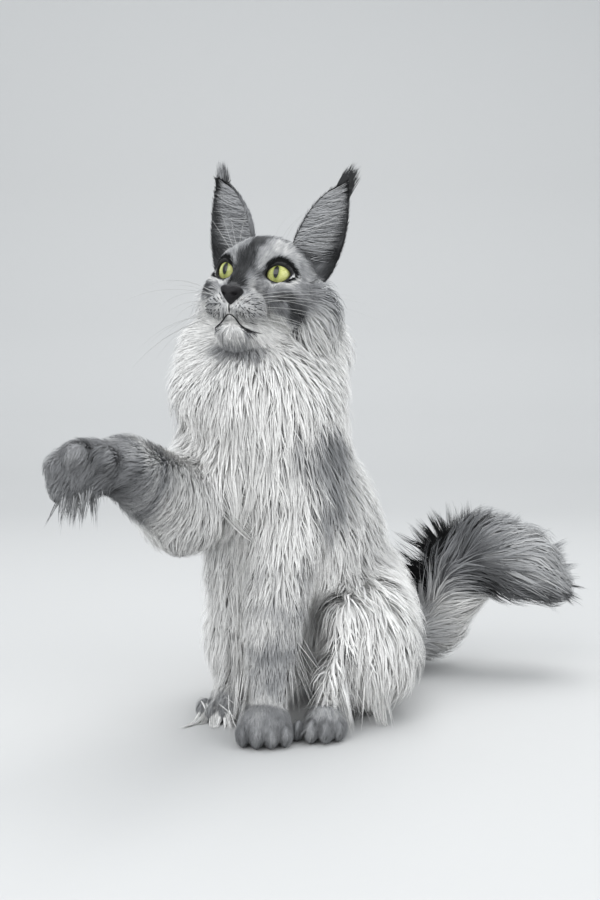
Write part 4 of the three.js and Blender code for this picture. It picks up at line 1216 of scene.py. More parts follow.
@dataclass
class Coat:
    """Grows the coat's tufts over the skin and the ears.

    Attributes:
        body: The cat's shape.
        surface: The skin with the ears.
        cover: How many times over the tufts cover the skin.
        ear_cover: The same for the ears.
        least_half: Half the width of the thinnest tuft.
        half_by_depth: How much wider a tuft is for each millimetre of depth.
        under_share: How many of the tufts are wide and lie under the others.
        under_sunk: How far those lie down, as a share of the coat's thickness.
        nose_half: The bare oval round the nose's leather.
        lip_roots: How near the mouth a root may stand.
        lip_tips: How near the mouth a tuft may reach.
        hidden_ear: How far inside the head an ear has no coat.
        root_sink: How far under the skin a tuft starts.
        most_climb: The most that one stretch may rise or fall.
        uneven: The tips' lowest and highest, as shares of the depth.
        ragged: The same in millimetres.
        lengths: The shortest and longest tuft beside the usual one.
        swerve: How much a tuft strays from the lie.
        curl: How early a tuft has risen to the coat's outline.
        rng: The source of every draw.
    """

    body: Body
    surface: Surface
    cover: float = 5.5
    ear_cover: float = 4.6
    least_half: float = 0.26
    half_by_depth: float = 0.0075
    under_share: float = 0.3
    under_sunk: float = 0.32
    nose_half: tuple[float, float] = (9.2, 8.2)
    lip_roots: float = 3.9
    lip_tips: float = 2.3
    hidden_ear: float = 3.5
    root_sink: float = 0.8
    most_climb: float = 12.0
    uneven: tuple[float, float] = (-0.2, 0.1)
    ragged: tuple[float, float] = (-0.6, 0.5)
    lengths: tuple[float, float] = (0.82, 1.12)
    swerve: float = 0.13
    curl: float = 1.7
    rng: np.random.Generator = field(default_factory=lambda: np.random.default_rng(COAT_SEED))

    def half(self, depth: np.ndarray) -> np.ndarray:
        """Returns half a tuft's width where the coat is that deep."""
        return self.least_half + self.half_by_depth * depth

    @staticmethod
    def length(depth: np.ndarray) -> np.ndarray:
        """Returns a tuft's length where the coat is that deep."""
        return 1.45 * depth + 4.5

    def roots(self) -> Roots:
        """Returns the tufts' roots, spread by how deep the coat is."""
        s = self.surface
        tris, corners = triangles_of(s.faces)
        a, b, c = (s.points[tris[:, i]] for i in range(3))
        area = np.linalg.norm(np.cross(b - a, c - a), axis=1) / 2
        depth = s.depth[tris].mean(axis=1)
        ear = s.tract[tris[:, 0]] == Tract.EARS.value
        dense = np.where(ear, self.ear_cover, self.cover) / (2 * self.half(depth) * self.length(depth))
        weight = np.cumsum(area * dense)
        count = int(weight[-1])
        pick = np.searchsorted(weight, (np.arange(count) + self.rng.random(count)) * weight[-1] / count)
        pick = np.minimum(pick, len(tris) - 1)
        u, v = self.rng.random(count), self.rng.random(count)
        over = u + v > 1
        u, v = np.where(over, 1 - u, u), np.where(over, 1 - v, v)
        share = np.stack([1 - u - v, u, v], axis=1)
        at = tris[pick]

        def mix(values: np.ndarray) -> np.ndarray:
            """Returns corner values at the roots."""
            return np.einsum("nk,nk...->n...", share, values[at])

        uv = np.einsum("nk,nkd->nd", share, s.uv.reshape(-1, 2)[corners[pick]])
        return {
            "at": mix(s.points),
            "normal": unit(mix(s.normals)),
            "lie": unit(mix(s.lie)),
            "depth": mix(s.depth),
            "tract": s.tract[at[:, 0]],
            "uv": uv,
            "under": self.rng.random(count) < self.under_share,
        }

    def clear(self, roots: Roots) -> np.ndarray:
        """Returns which roots stand clear of the nose's leather, the floor and the head's inside."""
        head, (wide, high) = HEAD.inside(roots["at"]), self.nose_half
        nose = (head[:, 0] > 50) & ((head[:, 1] / wide) ** 2 + ((head[:, 2] + 18) / high) ** 2 < 1)
        lips = self.body.mouth(roots["at"]) < self.lip_roots
        keep = ~nose & ~lips & (roots["at"][:, 2] > 2 * GROUND)
        ear = roots["tract"] == Tract.EARS.value
        keep[ear] &= self.body.outline(roots["at"][ear]) >= -self.hidden_ear
        return keep

    def march(self, roots: Roots, steps: int) -> tuple[np.ndarray, np.ndarray]:
        """Grows lines from the skin up to the coat's outline along the lie.

        Args:
            roots: The roots of one length of tuft.
            steps: How many stretches a line has.

        Returns:
            The lines' points, and the outward ways at them.
        """
        n = len(roots["at"])
        depth = roots["depth"]
        sunk = self.body.sunk(depth)
        over = depth * self.rng.uniform(*self.uneven, n) + self.rng.uniform(*self.ragged, n)
        over = over - roots["under"] * self.under_sunk * sunk
        reach = np.sqrt(np.maximum(self.length(depth) ** 2 - sunk**2, 4.0))
        reach = reach * self.rng.uniform(*self.lengths, n)
        swerve = self.rng.normal(0, self.swerve, n)
        here, way = self.body.slope(self.body.outline, roots["at"])
        pos = roots["at"] - way * self.root_sink
        lines, ways = [pos], [way]
        for i in range(1, steps + 1):
            t = i / steps
            lie = self.body.lie(pos)
            flat = lie - way * dot(lie, way)[:, None]
            side = np.cross(way, unit(flat))
            flat = unit(unit(flat) + side * swerve[:, None])
            pos = pos + flat * (reach / steps)[:, None]
            here, way = self.body.slope(self.body.outline, pos)
            rise = 1 - (1 - t) ** self.curl
            goal = -sunk + rise * (sunk + over)
            pos = pos + way * np.clip(goal - here, -self.most_climb, self.most_climb)[:, None]
            lines.append(pos)
            ways.append(way)
        return np.stack(lines, axis=1), np.stack(ways, axis=1)

    @staticmethod
    def locks(tips: np.ndarray, depth: np.ndarray) -> np.ndarray:
        """Returns which lock each tip is in: the deeper the coat, the wider the locks."""
        band = np.round(np.log2(4.0 + 0.42 * depth) * 2).astype(np.int64)
        size = 2.0 ** (band / 2)
        spot = tips + sway(tips, 31, (51, 52, 53)) * size[:, None] * 0.45
        x, y, z = (np.floor(spot / size[:, None]).astype(np.int64) * LOCK_HASH).T
        return np.unique((x ^ y ^ z) * 64 + band, return_inverse=True)[1]

    def gather(self, lines: np.ndarray, ways: np.ndarray, depth: np.ndarray) -> np.ndarray:
        """Draws tips together into locks and gives the long ones a soft wave.

        Args:
            lines: The tufts' points.
            ways: The outward ways at them.
            depth: How deep the coat is at each root.

        Returns:
            The moved points.
        """
        tips, k = lines[:, -1], lines.shape[1]
        group = self.locks(tips, depth)
        count = np.bincount(group).astype(float)
        middle = np.stack([np.bincount(group, tips[:, i]) / count for i in range(3)], axis=1)
        pull = np.clip(0.1 + 0.017 * depth, 0, 0.56)
        share = np.linspace(0, 1, k)[None, :, None]
        lines = lines + share**1.6 * ((middle[group] - tips) * pull[:, None])[:, None, :]
        turn = np.random.default_rng(LOCK_SEED).uniform(0, ANY_TURN, len(count))[group]
        ahead = unit(tips - lines[:, 0])
        across = np.cross(ahead, ways[:, -1])
        swing = np.clip(depth - 14, 0, 26) * 0.085
        wave = np.sin(turn[:, None] + share[..., 0] * 5.2) - np.sin(turn)[:, None]
        lines = lines + across[:, None, :] * (wave * swing[:, None] * share[..., 0] ** 0.7)[..., None]
        lift = np.sin(turn * 1.7) * np.clip(depth - 5, 0, 30) * 0.05
        return lines + ways * (share[..., 0] * lift[:, None])[..., None]

    def tones(self, roots: Roots, k: int, markings: Markings) -> np.ndarray:
        """Returns a grey for each point of each tuft: paler at the root of a dark one."""
        n = len(roots["at"])
        tone = markings.tone(roots["at"], roots["tract"] == Tract.EARS.value)
        spread = self.rng.normal(1.0, 0.1, n) * (1 + 0.1 * ripple(roots["at"], 9, 61))
        tone = tone * np.clip(spread, 0.65, 1.35)
        share = np.linspace(0, 1, k)[None]
        root = np.minimum(tone * 0.9 + 0.05 * ease(0.05, 0.2, tone), 0.78)
        out = root[:, None] * (1 - share) + tone[:, None] * share
        return np.clip(out * (0.96 + 0.08 * share), 0.004, 0.92)

    def off_eyes(self, lines: np.ndarray) -> np.ndarray:
        """Returns which tufts keep off the open eyes and the lips."""
        keep = np.ones(len(lines), bool)
        for eye in EYES:
            for i in range(1, lines.shape[1]):
                local = eye.inside(lines[:, i])
                keep &= ~((local[:, 0] > 2) & (local[:, 0] < 26) & (eye.beyond(local) < 0.4))
        near = np.flatnonzero(HEAD.close(lines[:, 0], (48.0, 0.0, -34.0), 30))
        for i in range(1, lines.shape[1]):
            keep[near] &= self.body.mouth(lines[near, i]) > self.lip_tips
        return keep

    def grow(self, markings: Markings) -> dict[str, Strands]:
        """Returns the coat's tufts by piece."""
        roots = self.roots()
        roots = chosen(roots, self.clear(roots))
        ear = roots["tract"] == Tract.EARS.value
        groups = []
        for low, high, steps in COAT_BANDS:
            part = chosen(roots, (roots["depth"] >= low) & (roots["depth"] < high) & ~ear)
            lines, ways = self.march(part, steps)
            groups.append((steps, part, self.gather(lines, ways, part["depth"]), ways))
        part = chosen(roots, ear)
        groups.append(("cup", part, *self.ear_lines(part)))
        out = {}
        for last, part, lines, ways in groups:
            tone = self.tones(part, lines.shape[1], markings)
            half = self.half(part["depth"]) * self.rng.uniform(0.65, 1.15, len(tone))
            half = half * np.where(part["under"], 1 + np.clip(part["depth"] * 0.09, 0.3, 1.9), 1.0)
            strands = Strands(lines, ways, half, tone, part["uv"])
            keep = self.off_eyes(lines)
            for tract in Tract:
                mine = keep & (part["tract"] == tract.value)
                if mine.any():
                    out[f"coat_{tract.name.lower()}_{last}"] = strands.cut(mine)
        return out

    def ear_lines(self, part: Roots) -> tuple[np.ndarray, np.ndarray]:
        """Returns short tufts that lie along an ear's two faces."""
        n = len(part["at"])
        long = self.length(part["depth"]) * self.rng.uniform(0.4, 0.7, n)
        rise = part["depth"] * self.rng.uniform(0.25, 0.5, n)
        lie = part["lie"] - part["normal"] * dot(part["lie"], part["normal"])[:, None]
        lie = unit(unit(lie) + self.rng.normal(0, 0.12, (n, 3)))
        lines = []
        for t in (0.0, 0.5, 1.0):
            lift = rise * (1 - (1 - t) ** 2) - self.root_sink / 2
            lines.append(part["at"] + lie * (long * t)[:, None] + part["normal"] * lift[:, None])
        return np.stack(lines, axis=1), np.repeat(part["normal"][:, None], 3, axis=1)


class Sock:
    """A shader value that adds its own maths nodes when it is used in an expression."""

    def __init__(self, tree: bpy.types.NodeTree, socket: bpy.types.NodeSocket) -> None:
        """Keeps the tree and the socket."""
        self.tree = tree
        self.socket = socket

    def maths(self, operation: str, *others: "Sock | float") -> "Sock":
        """Returns a Math node's result on this value and others."""
        node = self.tree.nodes.new("ShaderNodeMath")
        node.operation = operation
        for i, value in enumerate((self, *others)):
            plug(self.tree, node.inputs[i], value)
        return Sock(self.tree, node.outputs[0])

    def __add__(self, other: "Sock | float") -> "Sock":
        """Returns the sum."""
        return self.maths("ADD", other)

    def __sub__(self, other: "Sock | float") -> "Sock":
        """Returns the difference."""
        return self.maths("SUBTRACT", other)

    def __mul__(self, other: "Sock | float") -> "Sock":
        """Returns the product."""
        return self.maths("MULTIPLY", other)

    def __truediv__(self, other: "Sock | float") -> "Sock":
        """Returns the quotient."""
        return self.maths("DIVIDE", other)

    def step(self, low: float, high: float) -> "Sock":
        """Returns 0 below low and 1 above high, softly."""
        node = self.tree.nodes.new("ShaderNodeMapRange")
        node.interpolation_type = "SMOOTHSTEP"
        for name, value in (("Value", self), ("From Min", low), ("From Max", high)):
            plug(self.tree, node.inputs[name], value)
        return Sock(self.tree, node.outputs[0])


def plug(tree: bpy.types.NodeTree, target: bpy.types.NodeSocket, value: object) -> None:
    """Sets a socket from a number or colour, or links it."""
    if isinstance(value, Sock):
        value = value.socket
    if isinstance(value, bpy.types.NodeSocket):
        tree.links.new(value, target)
    else:
        target.default_value = value


class Finish:
    """Builds one material's nodes."""

    def __init__(self, name: str) -> None:
        """Starts the material with its shader and output."""
        self.material = bpy.data.materials.new(name)
        self.material.use_nodes = True
        self.tree = self.material.node_tree
        self.tree.nodes.clear()
        self.shader = self.tree.nodes.new("ShaderNodeBsdfPrincipled")
        output = self.tree.nodes.new("ShaderNodeOutputMaterial")
        self.tree.links.new(self.shader.outputs[0], output.inputs[0])

    def node(self, kind: str, settings: dict | None = None, out: int | str = 0, **values: object) -> Sock:
        """Adds a node.

        Args:
            kind: The node's type.
            settings: Its own settings, set first.
            out: Which output is wanted.
            values: Its sockets' values by name, with _ for a space.

        Returns:
            The wanted output.
        """
        node = self.tree.nodes.new(kind)
        for key, value in (settings or {}).items():
            setattr(node, key, value)
        for key, value in values.items():
            plug(self.tree, node.inputs[key.replace("_", " ")], value)
        return Sock(self.tree, node.outputs[out])

    def put(self, **values: object) -> "Finish":
        """Sets the shader's sockets."""
        for key, value in values.items():
            plug(self.tree, self.shader.inputs[key.replace("_", " ")], value)
        return self

    def shade(self) -> Sock:
        """Returns the grey that is painted on the points."""
        return self.node("ShaderNodeAttribute", {"attribute_name": SHADE}, "Color")

    def noise(self, **values: object) -> Sock:
        """Returns noise over the piece."""
        where = self.node("ShaderNodeTexCoord", None, "Object")
        return self.node("ShaderNodeTexNoise", None, "Fac", Vector=where, **values)

    def mix(self, factor: Sock | float, a: object, b: object) -> Sock:
        """Returns a colour between two."""
        node = self.tree.nodes.new("ShaderNodeMix")
        node.data_type = "RGBA"
        plug(self.tree, node.inputs[0], factor)
        plug(self.tree, node.inputs[6], a)
        plug(self.tree, node.inputs[7], b)
        return Sock(self.tree, node.outputs[2])

    def bump(self, height: Sock, strength: float, distance: float) -> "Finish":
        """Roughens the surface by a height."""
        normal = self.node("ShaderNodeBump", Height=height, Strength=strength, Distance=distance)
        return self.put(Normal=normal)


def grey(tone: float) -> tuple[float, float, float, float]:
    """Returns an even grey as a shader's colour."""
    return (tone, tone, tone, 1.0)


def coat_finish() -> bpy.types.Material:
    """Returns the hair's material: the root's grey with fine streaks."""
    f = Finish("silver_coat")
    speck = f.noise(Scale=420.0, Detail=1.0)
    colour = f.mix(speck.step(0.35, 0.7) * 0.1, f.shade(), grey(0.01))
    f.put(Base_Color=colour, Roughness=0.7, Specular_IOR_Level=0.08)
    return f.material


def skin_finish() -> bpy.types.Material:
    """Returns the skin's material: the coat's greys over a fine nap."""
    f = Finish("silver_skin")
    nap = f.noise(Scale=900.0, Detail=2.0)
    colour = f.mix(nap.step(0.25, 0.75) * 0.15, f.shade(), (0.05, 0.045, 0.045, 1.0))
    f.put(Base_Color=colour, Roughness=0.7).bump(nap, 0.5, 0.0006)
    return f.material


def leather_finish() -> bpy.types.Material:
    """Returns the nose's and the lids' black, pebbled leather."""
    f = Finish("black_leather")
    where = f.node("ShaderNodeTexCoord", None, "Object")
    pebble = f.node("ShaderNodeTexVoronoi", None, "Distance", Vector=where, Scale=1300.0)
    colour = f.mix(pebble.step(0.1, 0.7), (0.004, 0.004, 0.005, 1.0), (0.011, 0.01, 0.011, 1.0))
    f.put(Base_Color=colour, Roughness=0.5, Specular_IOR_Level=0.2).bump(pebble, 0.35, 0.0004)
    return f.material


def whisker_finish(name: str, tone: float) -> bpy.types.Material:
    """Returns a whisker's smooth horn."""
    f = Finish(name)
    streak = f.noise(Scale=60.0)
    f.put(Base_Color=f.mix(streak * 0.4, (tone, tone, tone * 0.97, 1.0), grey(tone * 0.5)), Roughness=0.35)
    return f.material


def eye_finish() -> bpy.types.Material:
    """Returns the eye: a green-gold iris with fine rays round an upright pupil."""
    f = Finish("green_gold_eye")
    place = f.node("ShaderNodeUVMap", {"uv_map": EYE_MAP})
    split = f.tree.nodes.new("ShaderNodeSeparateXYZ")
    plug(f.tree, split.inputs[0], place)
    x = (Sock(f.tree, split.outputs[0]) - 0.5) * 2.0
    y = (Sock(f.tree, split.outputs[1]) - 0.5) * 2.0
    far = (x * x + y * y).maths("SQRT")
    angle = y.maths("ARCTAN2", x)
    joined = f.tree.nodes.new("ShaderNodeCombineXYZ")
    plug(f.tree, joined.inputs[0], angle * 5.0)
    plug(f.tree, joined.inputs[1], far * 2.2)
    spread = Sock(f.tree, joined.outputs[0])
    rays = f.node("ShaderNodeTexNoise", None, "Fac", Vector=spread, Scale=3.4, Detail=4.0)
    slit = ((x / 0.17) * (x / 0.17) + (y / 0.4) * (y / 0.4)).maths("SQRT")
    gold = f.mix(rays.step(0.3, 0.7), (0.34, 0.35, 0.1, 1.0), (0.56, 0.57, 0.22, 1.0))
    green = f.mix(rays.step(0.3, 0.7), (0.16, 0.19, 0.04, 1.0), (0.3, 0.33, 0.09, 1.0))
    iris = f.mix(slit.step(1.0, 1.9), green, gold)
    iris = f.mix(far.step(0.62, 0.86), iris, (0.12, 0.13, 0.04, 1.0))
    iris = f.mix(far.step(0.84, 0.92), iris, grey(0.01))
    colour = f.mix(slit.step(0.92, 1.06), grey(0.004), iris)
    f.put(Base_Color=colour, Roughness=0.2, Specular_IOR_Level=0.2, Coat_Weight=0.5, Coat_Roughness=0.02)
    return f.material


@dataclass
class EyeBall:
    """One eyeball with its bulging clear front, and the leather rim of its lids.

    Attributes:
        opening: The eye's place and the almond between its lids.
        gaze: The way both eyes look, in the head's frame.
        gaze_share: How far this eye follows it, beside its own socket's way.
        bulge: How far the clear front stands out.
        bulge_edge: The angle from the middle where that ends.
        inset: How much smaller the ball is than its socket.
        rings: How many rows of points the ball has, with its ends.
        segments: How many points a row has.
        rim_at: How far the rim's middle is in front of the socket.
        rim: Half the rim's thickness.
        rim_upper: How much thicker it is at the upper lid.
        rim_flat: Its height and its width beside that thickness.
        rim_steps: How many rows of points the rim has.
        rim_sides: How many points a row has.
    """

    opening: Opening
    gaze: tuple[float, float, float] = (0.985, 0.03, 0.16)
    gaze_share: float = 0.55
    bulge: float = 1.3
    bulge_edge: float = math.radians(48)
    inset: float = 0.35
    rings: int = 34
    segments: int = 48
    rim_at: float = 0.9
    rim: float = 1.25
    rim_upper: float = 0.35
    rim_flat: tuple[float, float] = (0.85, 1.15)
    rim_steps: int = 72
    rim_sides: int = 10

    def ball(self) -> bpy.types.Object:
        """Returns the eyeball, its map centred on where it looks."""
        o = self.opening
        look = HEAD.turned(unit(np.array(self.gaze)))
        ahead = unit(look * self.gaze_share + o.axes()[0] * (1 - self.gaze_share))
        up = unit(np.cross(ahead, np.cross(HEAD.axes()[2], ahead)))
        side = np.cross(up, ahead)
        tilt = np.linspace(0, math.pi, self.rings)
        t, a = np.meshgrid(tilt[1:-1], turns(self.segments), indexing="ij")
        back = o.radius - self.inset
        r = back + self.bulge * np.maximum(1 - (t / self.bulge_edge) ** 2, 0) ** 1.5
        wide, high = np.sin(t) * np.cos(a), np.sin(t) * np.sin(a)
        local = np.stack([np.cos(t) * r, wide * r, high * r], axis=-1).reshape(-1, 3)
        points = np.concatenate([local, [[back + self.bulge, 0, 0], [-back, 0, 0]]])
        flat = np.concatenate([np.stack([wide, high], -1).reshape(-1, 2), [[0, 0], [0, 0]]])
        behind = np.concatenate([(t > math.pi / 2).reshape(-1), [False, True]])
        flat = np.where(behind[:, None], unit(flat + 1e-9), flat)
        world = points @ np.array([ahead, side, up]) + o.centre()
        faces = capped(*t.shape)
        faces = facing(faces, world, world[faces[:, 0]] - o.centre())
        obj = make_mesh(f"eyeball_{o.name}", world, faces)
        lay_out(obj, flat[faces].reshape(-1, 2) * 0.5 + 0.5, EYE_MAP)
        return obj

    def lid_rim(self) -> bpy.types.Object:
        """Returns the black rim that runs round the opening."""
        o = self.opening
        turn = turns(self.rim_steps)
        reach = np.minimum(o.reach(turn) + 0.2, o.radius * 0.985)
        bed = o.radius + self.rim_at
        y, z = reach * np.cos(turn), reach * np.sin(turn)
        path = np.stack([np.sqrt(np.maximum(bed**2 - y**2 - z**2, 4.0)), y, z], axis=1)
        along = unit(np.roll(path, -1, 0) - np.roll(path, 1, 0))
        out = unit(path)
        flat = np.cross(along, out)
        thick = self.rim * (1 + self.rim_upper * np.maximum(np.sin(turn), 0))
        ring = turns(self.rim_sides)
        high = np.cos(ring)[None, :, None] * thick[:, None, None] * self.rim_flat[0]
        wide = np.sin(ring)[None, :, None] * thick[:, None, None] * self.rim_flat[1]
        pts = path[:, None] + out[:, None] * high + flat[:, None] * wide
        idx = np.arange(len(turn) * len(ring)).reshape(len(turn), len(ring))
        up, side = np.roll(idx, -1, axis=0), np.roll(idx, -1, axis=1)
        both = np.roll(up, -1, axis=1)
        quads = np.stack([idx, side, both, up], axis=-1).reshape(-1, 4)
        world = pts.reshape(-1, 3) @ o.axes() + o.centre()
        if signed_volume(world - o.centre(), quads) < 0:
            quads = quads[:, ::-1]
        return make_mesh(f"lid_rim_{o.name}", world, quads)


@dataclass
class NoseLeather:
    """The nose's black pad with its two nostrils.

    Attributes:
        at: Its middle, in the head's frame.
        half_section: The corners of half its outline, across and up.
        rings: How far forward each step of its side is, and its size there.
        lean: How far its top leans forward.
        around: How many points go round it.
        steps: How many rows of them there are.
        nostril_at: A nostril's middle, across and up.
        nostril_half: Half its width and half its height.
        nostril_slant: How far it slants.
        nostril_depth: How deep it is.
        front: How far forward the pad's middle is.
    """

    at: tuple[float, float, float] = (58.5, 0.0, -18.5)
    half_section: tuple = ((0, 7), (5, 7.6), (9.6, 5), (7.6, -0.5), (3, -6), (0, -8.4))
    rings: tuple = ((-9, 0.8), (-3, 0.97), (0.0, 0.99), (2.2, 0.93), (3.8, 0.78), (5.0, 0.55), (5.6, 0.28))
    lean: float = 0.14
    around: int = 64
    steps: int = 19
    nostril_at: tuple[float, float] = (4.7, -0.4)
    nostril_half: tuple[float, float] = (2.5, 1.5)
    nostril_slant: float = 0.35
    nostril_depth: float = 3.4
    front: float = 5.75

    def section(self) -> np.ndarray:
        """Returns the outline that the corners give, rounded by a smooth curve through them."""
        half = np.array(self.half_section, float)
        loop = np.concatenate([half, (half[1:-1] * np.array([-1, 1]))[::-1]])
        t = np.linspace(0, len(loop), self.around, endpoint=False)
        k = np.floor(t).astype(int)
        u = (t - k)[:, None]
        a, b, c, d = (loop[(k + i) % len(loop)] for i in (-1, 0, 1, 2))
        bend, twist = 2 * a - 5 * b + 4 * c - d, 3 * b - a - 3 * c + d
        return 0.5 * (2 * b + (c - a) * u + bend * u**2 + twist * u**3)

    def build(self) -> bpy.types.Object:
        """Returns the nose as one closed mesh."""
        curve = self.section()
        rows = np.linspace(0, len(self.rings) - 1, self.steps)
        f, s = (np.interp(rows, range(len(self.rings)), column)[:, None] for column in zip(*self.rings))
        y, z = curve[None, :, 0] * s, curve[None, :, 1] * s
        x = f + self.lean * z
        for side in (-1, 1):
            off = y - side * self.nostril_at[0]
            tall = z - self.nostril_at[1] - side * off * self.nostril_slant
            gap = np.hypot(off / self.nostril_half[0], tall / self.nostril_half[1])
            x = x - self.nostril_depth * (1 - ease(0.4, 1.25, gap)) * (f > 0)
        ends = [[self.rings[0][0], 0.0, 0.0], [self.front, 0.0, 0.0]]
        points = np.concatenate([np.stack([x, y, z], axis=-1).reshape(-1, 3), ends])
        world = HEAD.outside(points + np.array(self.at))
        faces = capped(self.steps, self.around)
        faces = facing(faces, world, world[faces[:, 0]] - HEAD.outside(np.array(self.at)))
        return make_mesh("nose_leather", world, faces)


@dataclass
class Lips:
    """The dark edge of the lips, from corner to corner and up to the nose."""

    body: Body
    half: float = 0.72
    around: int = 8
    under: float = 0.5

    @staticmethod
    def smoothed(line: np.ndarray, times: int) -> np.ndarray:
        """Returns a line with its corners rounded and its ends kept."""
        for _ in range(times):
            line[1:-1] = (line[:-2] + line[1:-1] * 2 + line[2:]) / 4
        return line

    def build(self) -> bpy.types.Object:
        """Returns the lips' edge as two closed, thinning tubes."""
        points, faces = [], []
        for path in (MOUTH[::-1] + MOUTH_RIGHT[1:], PHILTRUM):
            more, rows = self.tube(np.array(path, float))
            faces.append(rows + sum(len(p) for p in points))
            points.append(more)
        return make_mesh("lips", np.concatenate(points), np.concatenate(faces))

    def tube(self, path: np.ndarray) -> tuple[np.ndarray, np.ndarray]:
        """Returns points and faces of a tube that follows a path just under the coat's tips."""
        t = np.linspace(0, len(path) - 1, 12 * len(path))
        at = np.stack([np.interp(t, range(len(path)), path[:, i]) for i in range(3)], axis=1)
        line = HEAD.outside(self.smoothed(at, 6))
        line, out = self.body.settled(self.body.outline, line, self.under, 6, 4)
        line = self.smoothed(line, 4)
        ahead = unit(np.gradient(line, axis=0))
        side = unit(np.cross(ahead, out))
        up = np.cross(side, ahead)
        size = self.half * np.sqrt(np.maximum(1 - np.linspace(-1, 1, len(line)) ** 2, 0.02))
        turn = turns(self.around)
        ring = side[:, None] * np.cos(turn)[None, :, None] + up[:, None] * np.sin(turn)[None, :, None] * 0.8
        points = (line[:, None] + ring * size[:, None, None]).reshape(-1, 3)
        points = np.concatenate([points, line[:1], line[-1:]])
        faces = capped(len(line), self.around)
        middle = line[np.minimum(faces[:, 0] // self.around, len(line) - 1)]
        return points, facing(faces, points, points[faces[:, 0]] - middle)


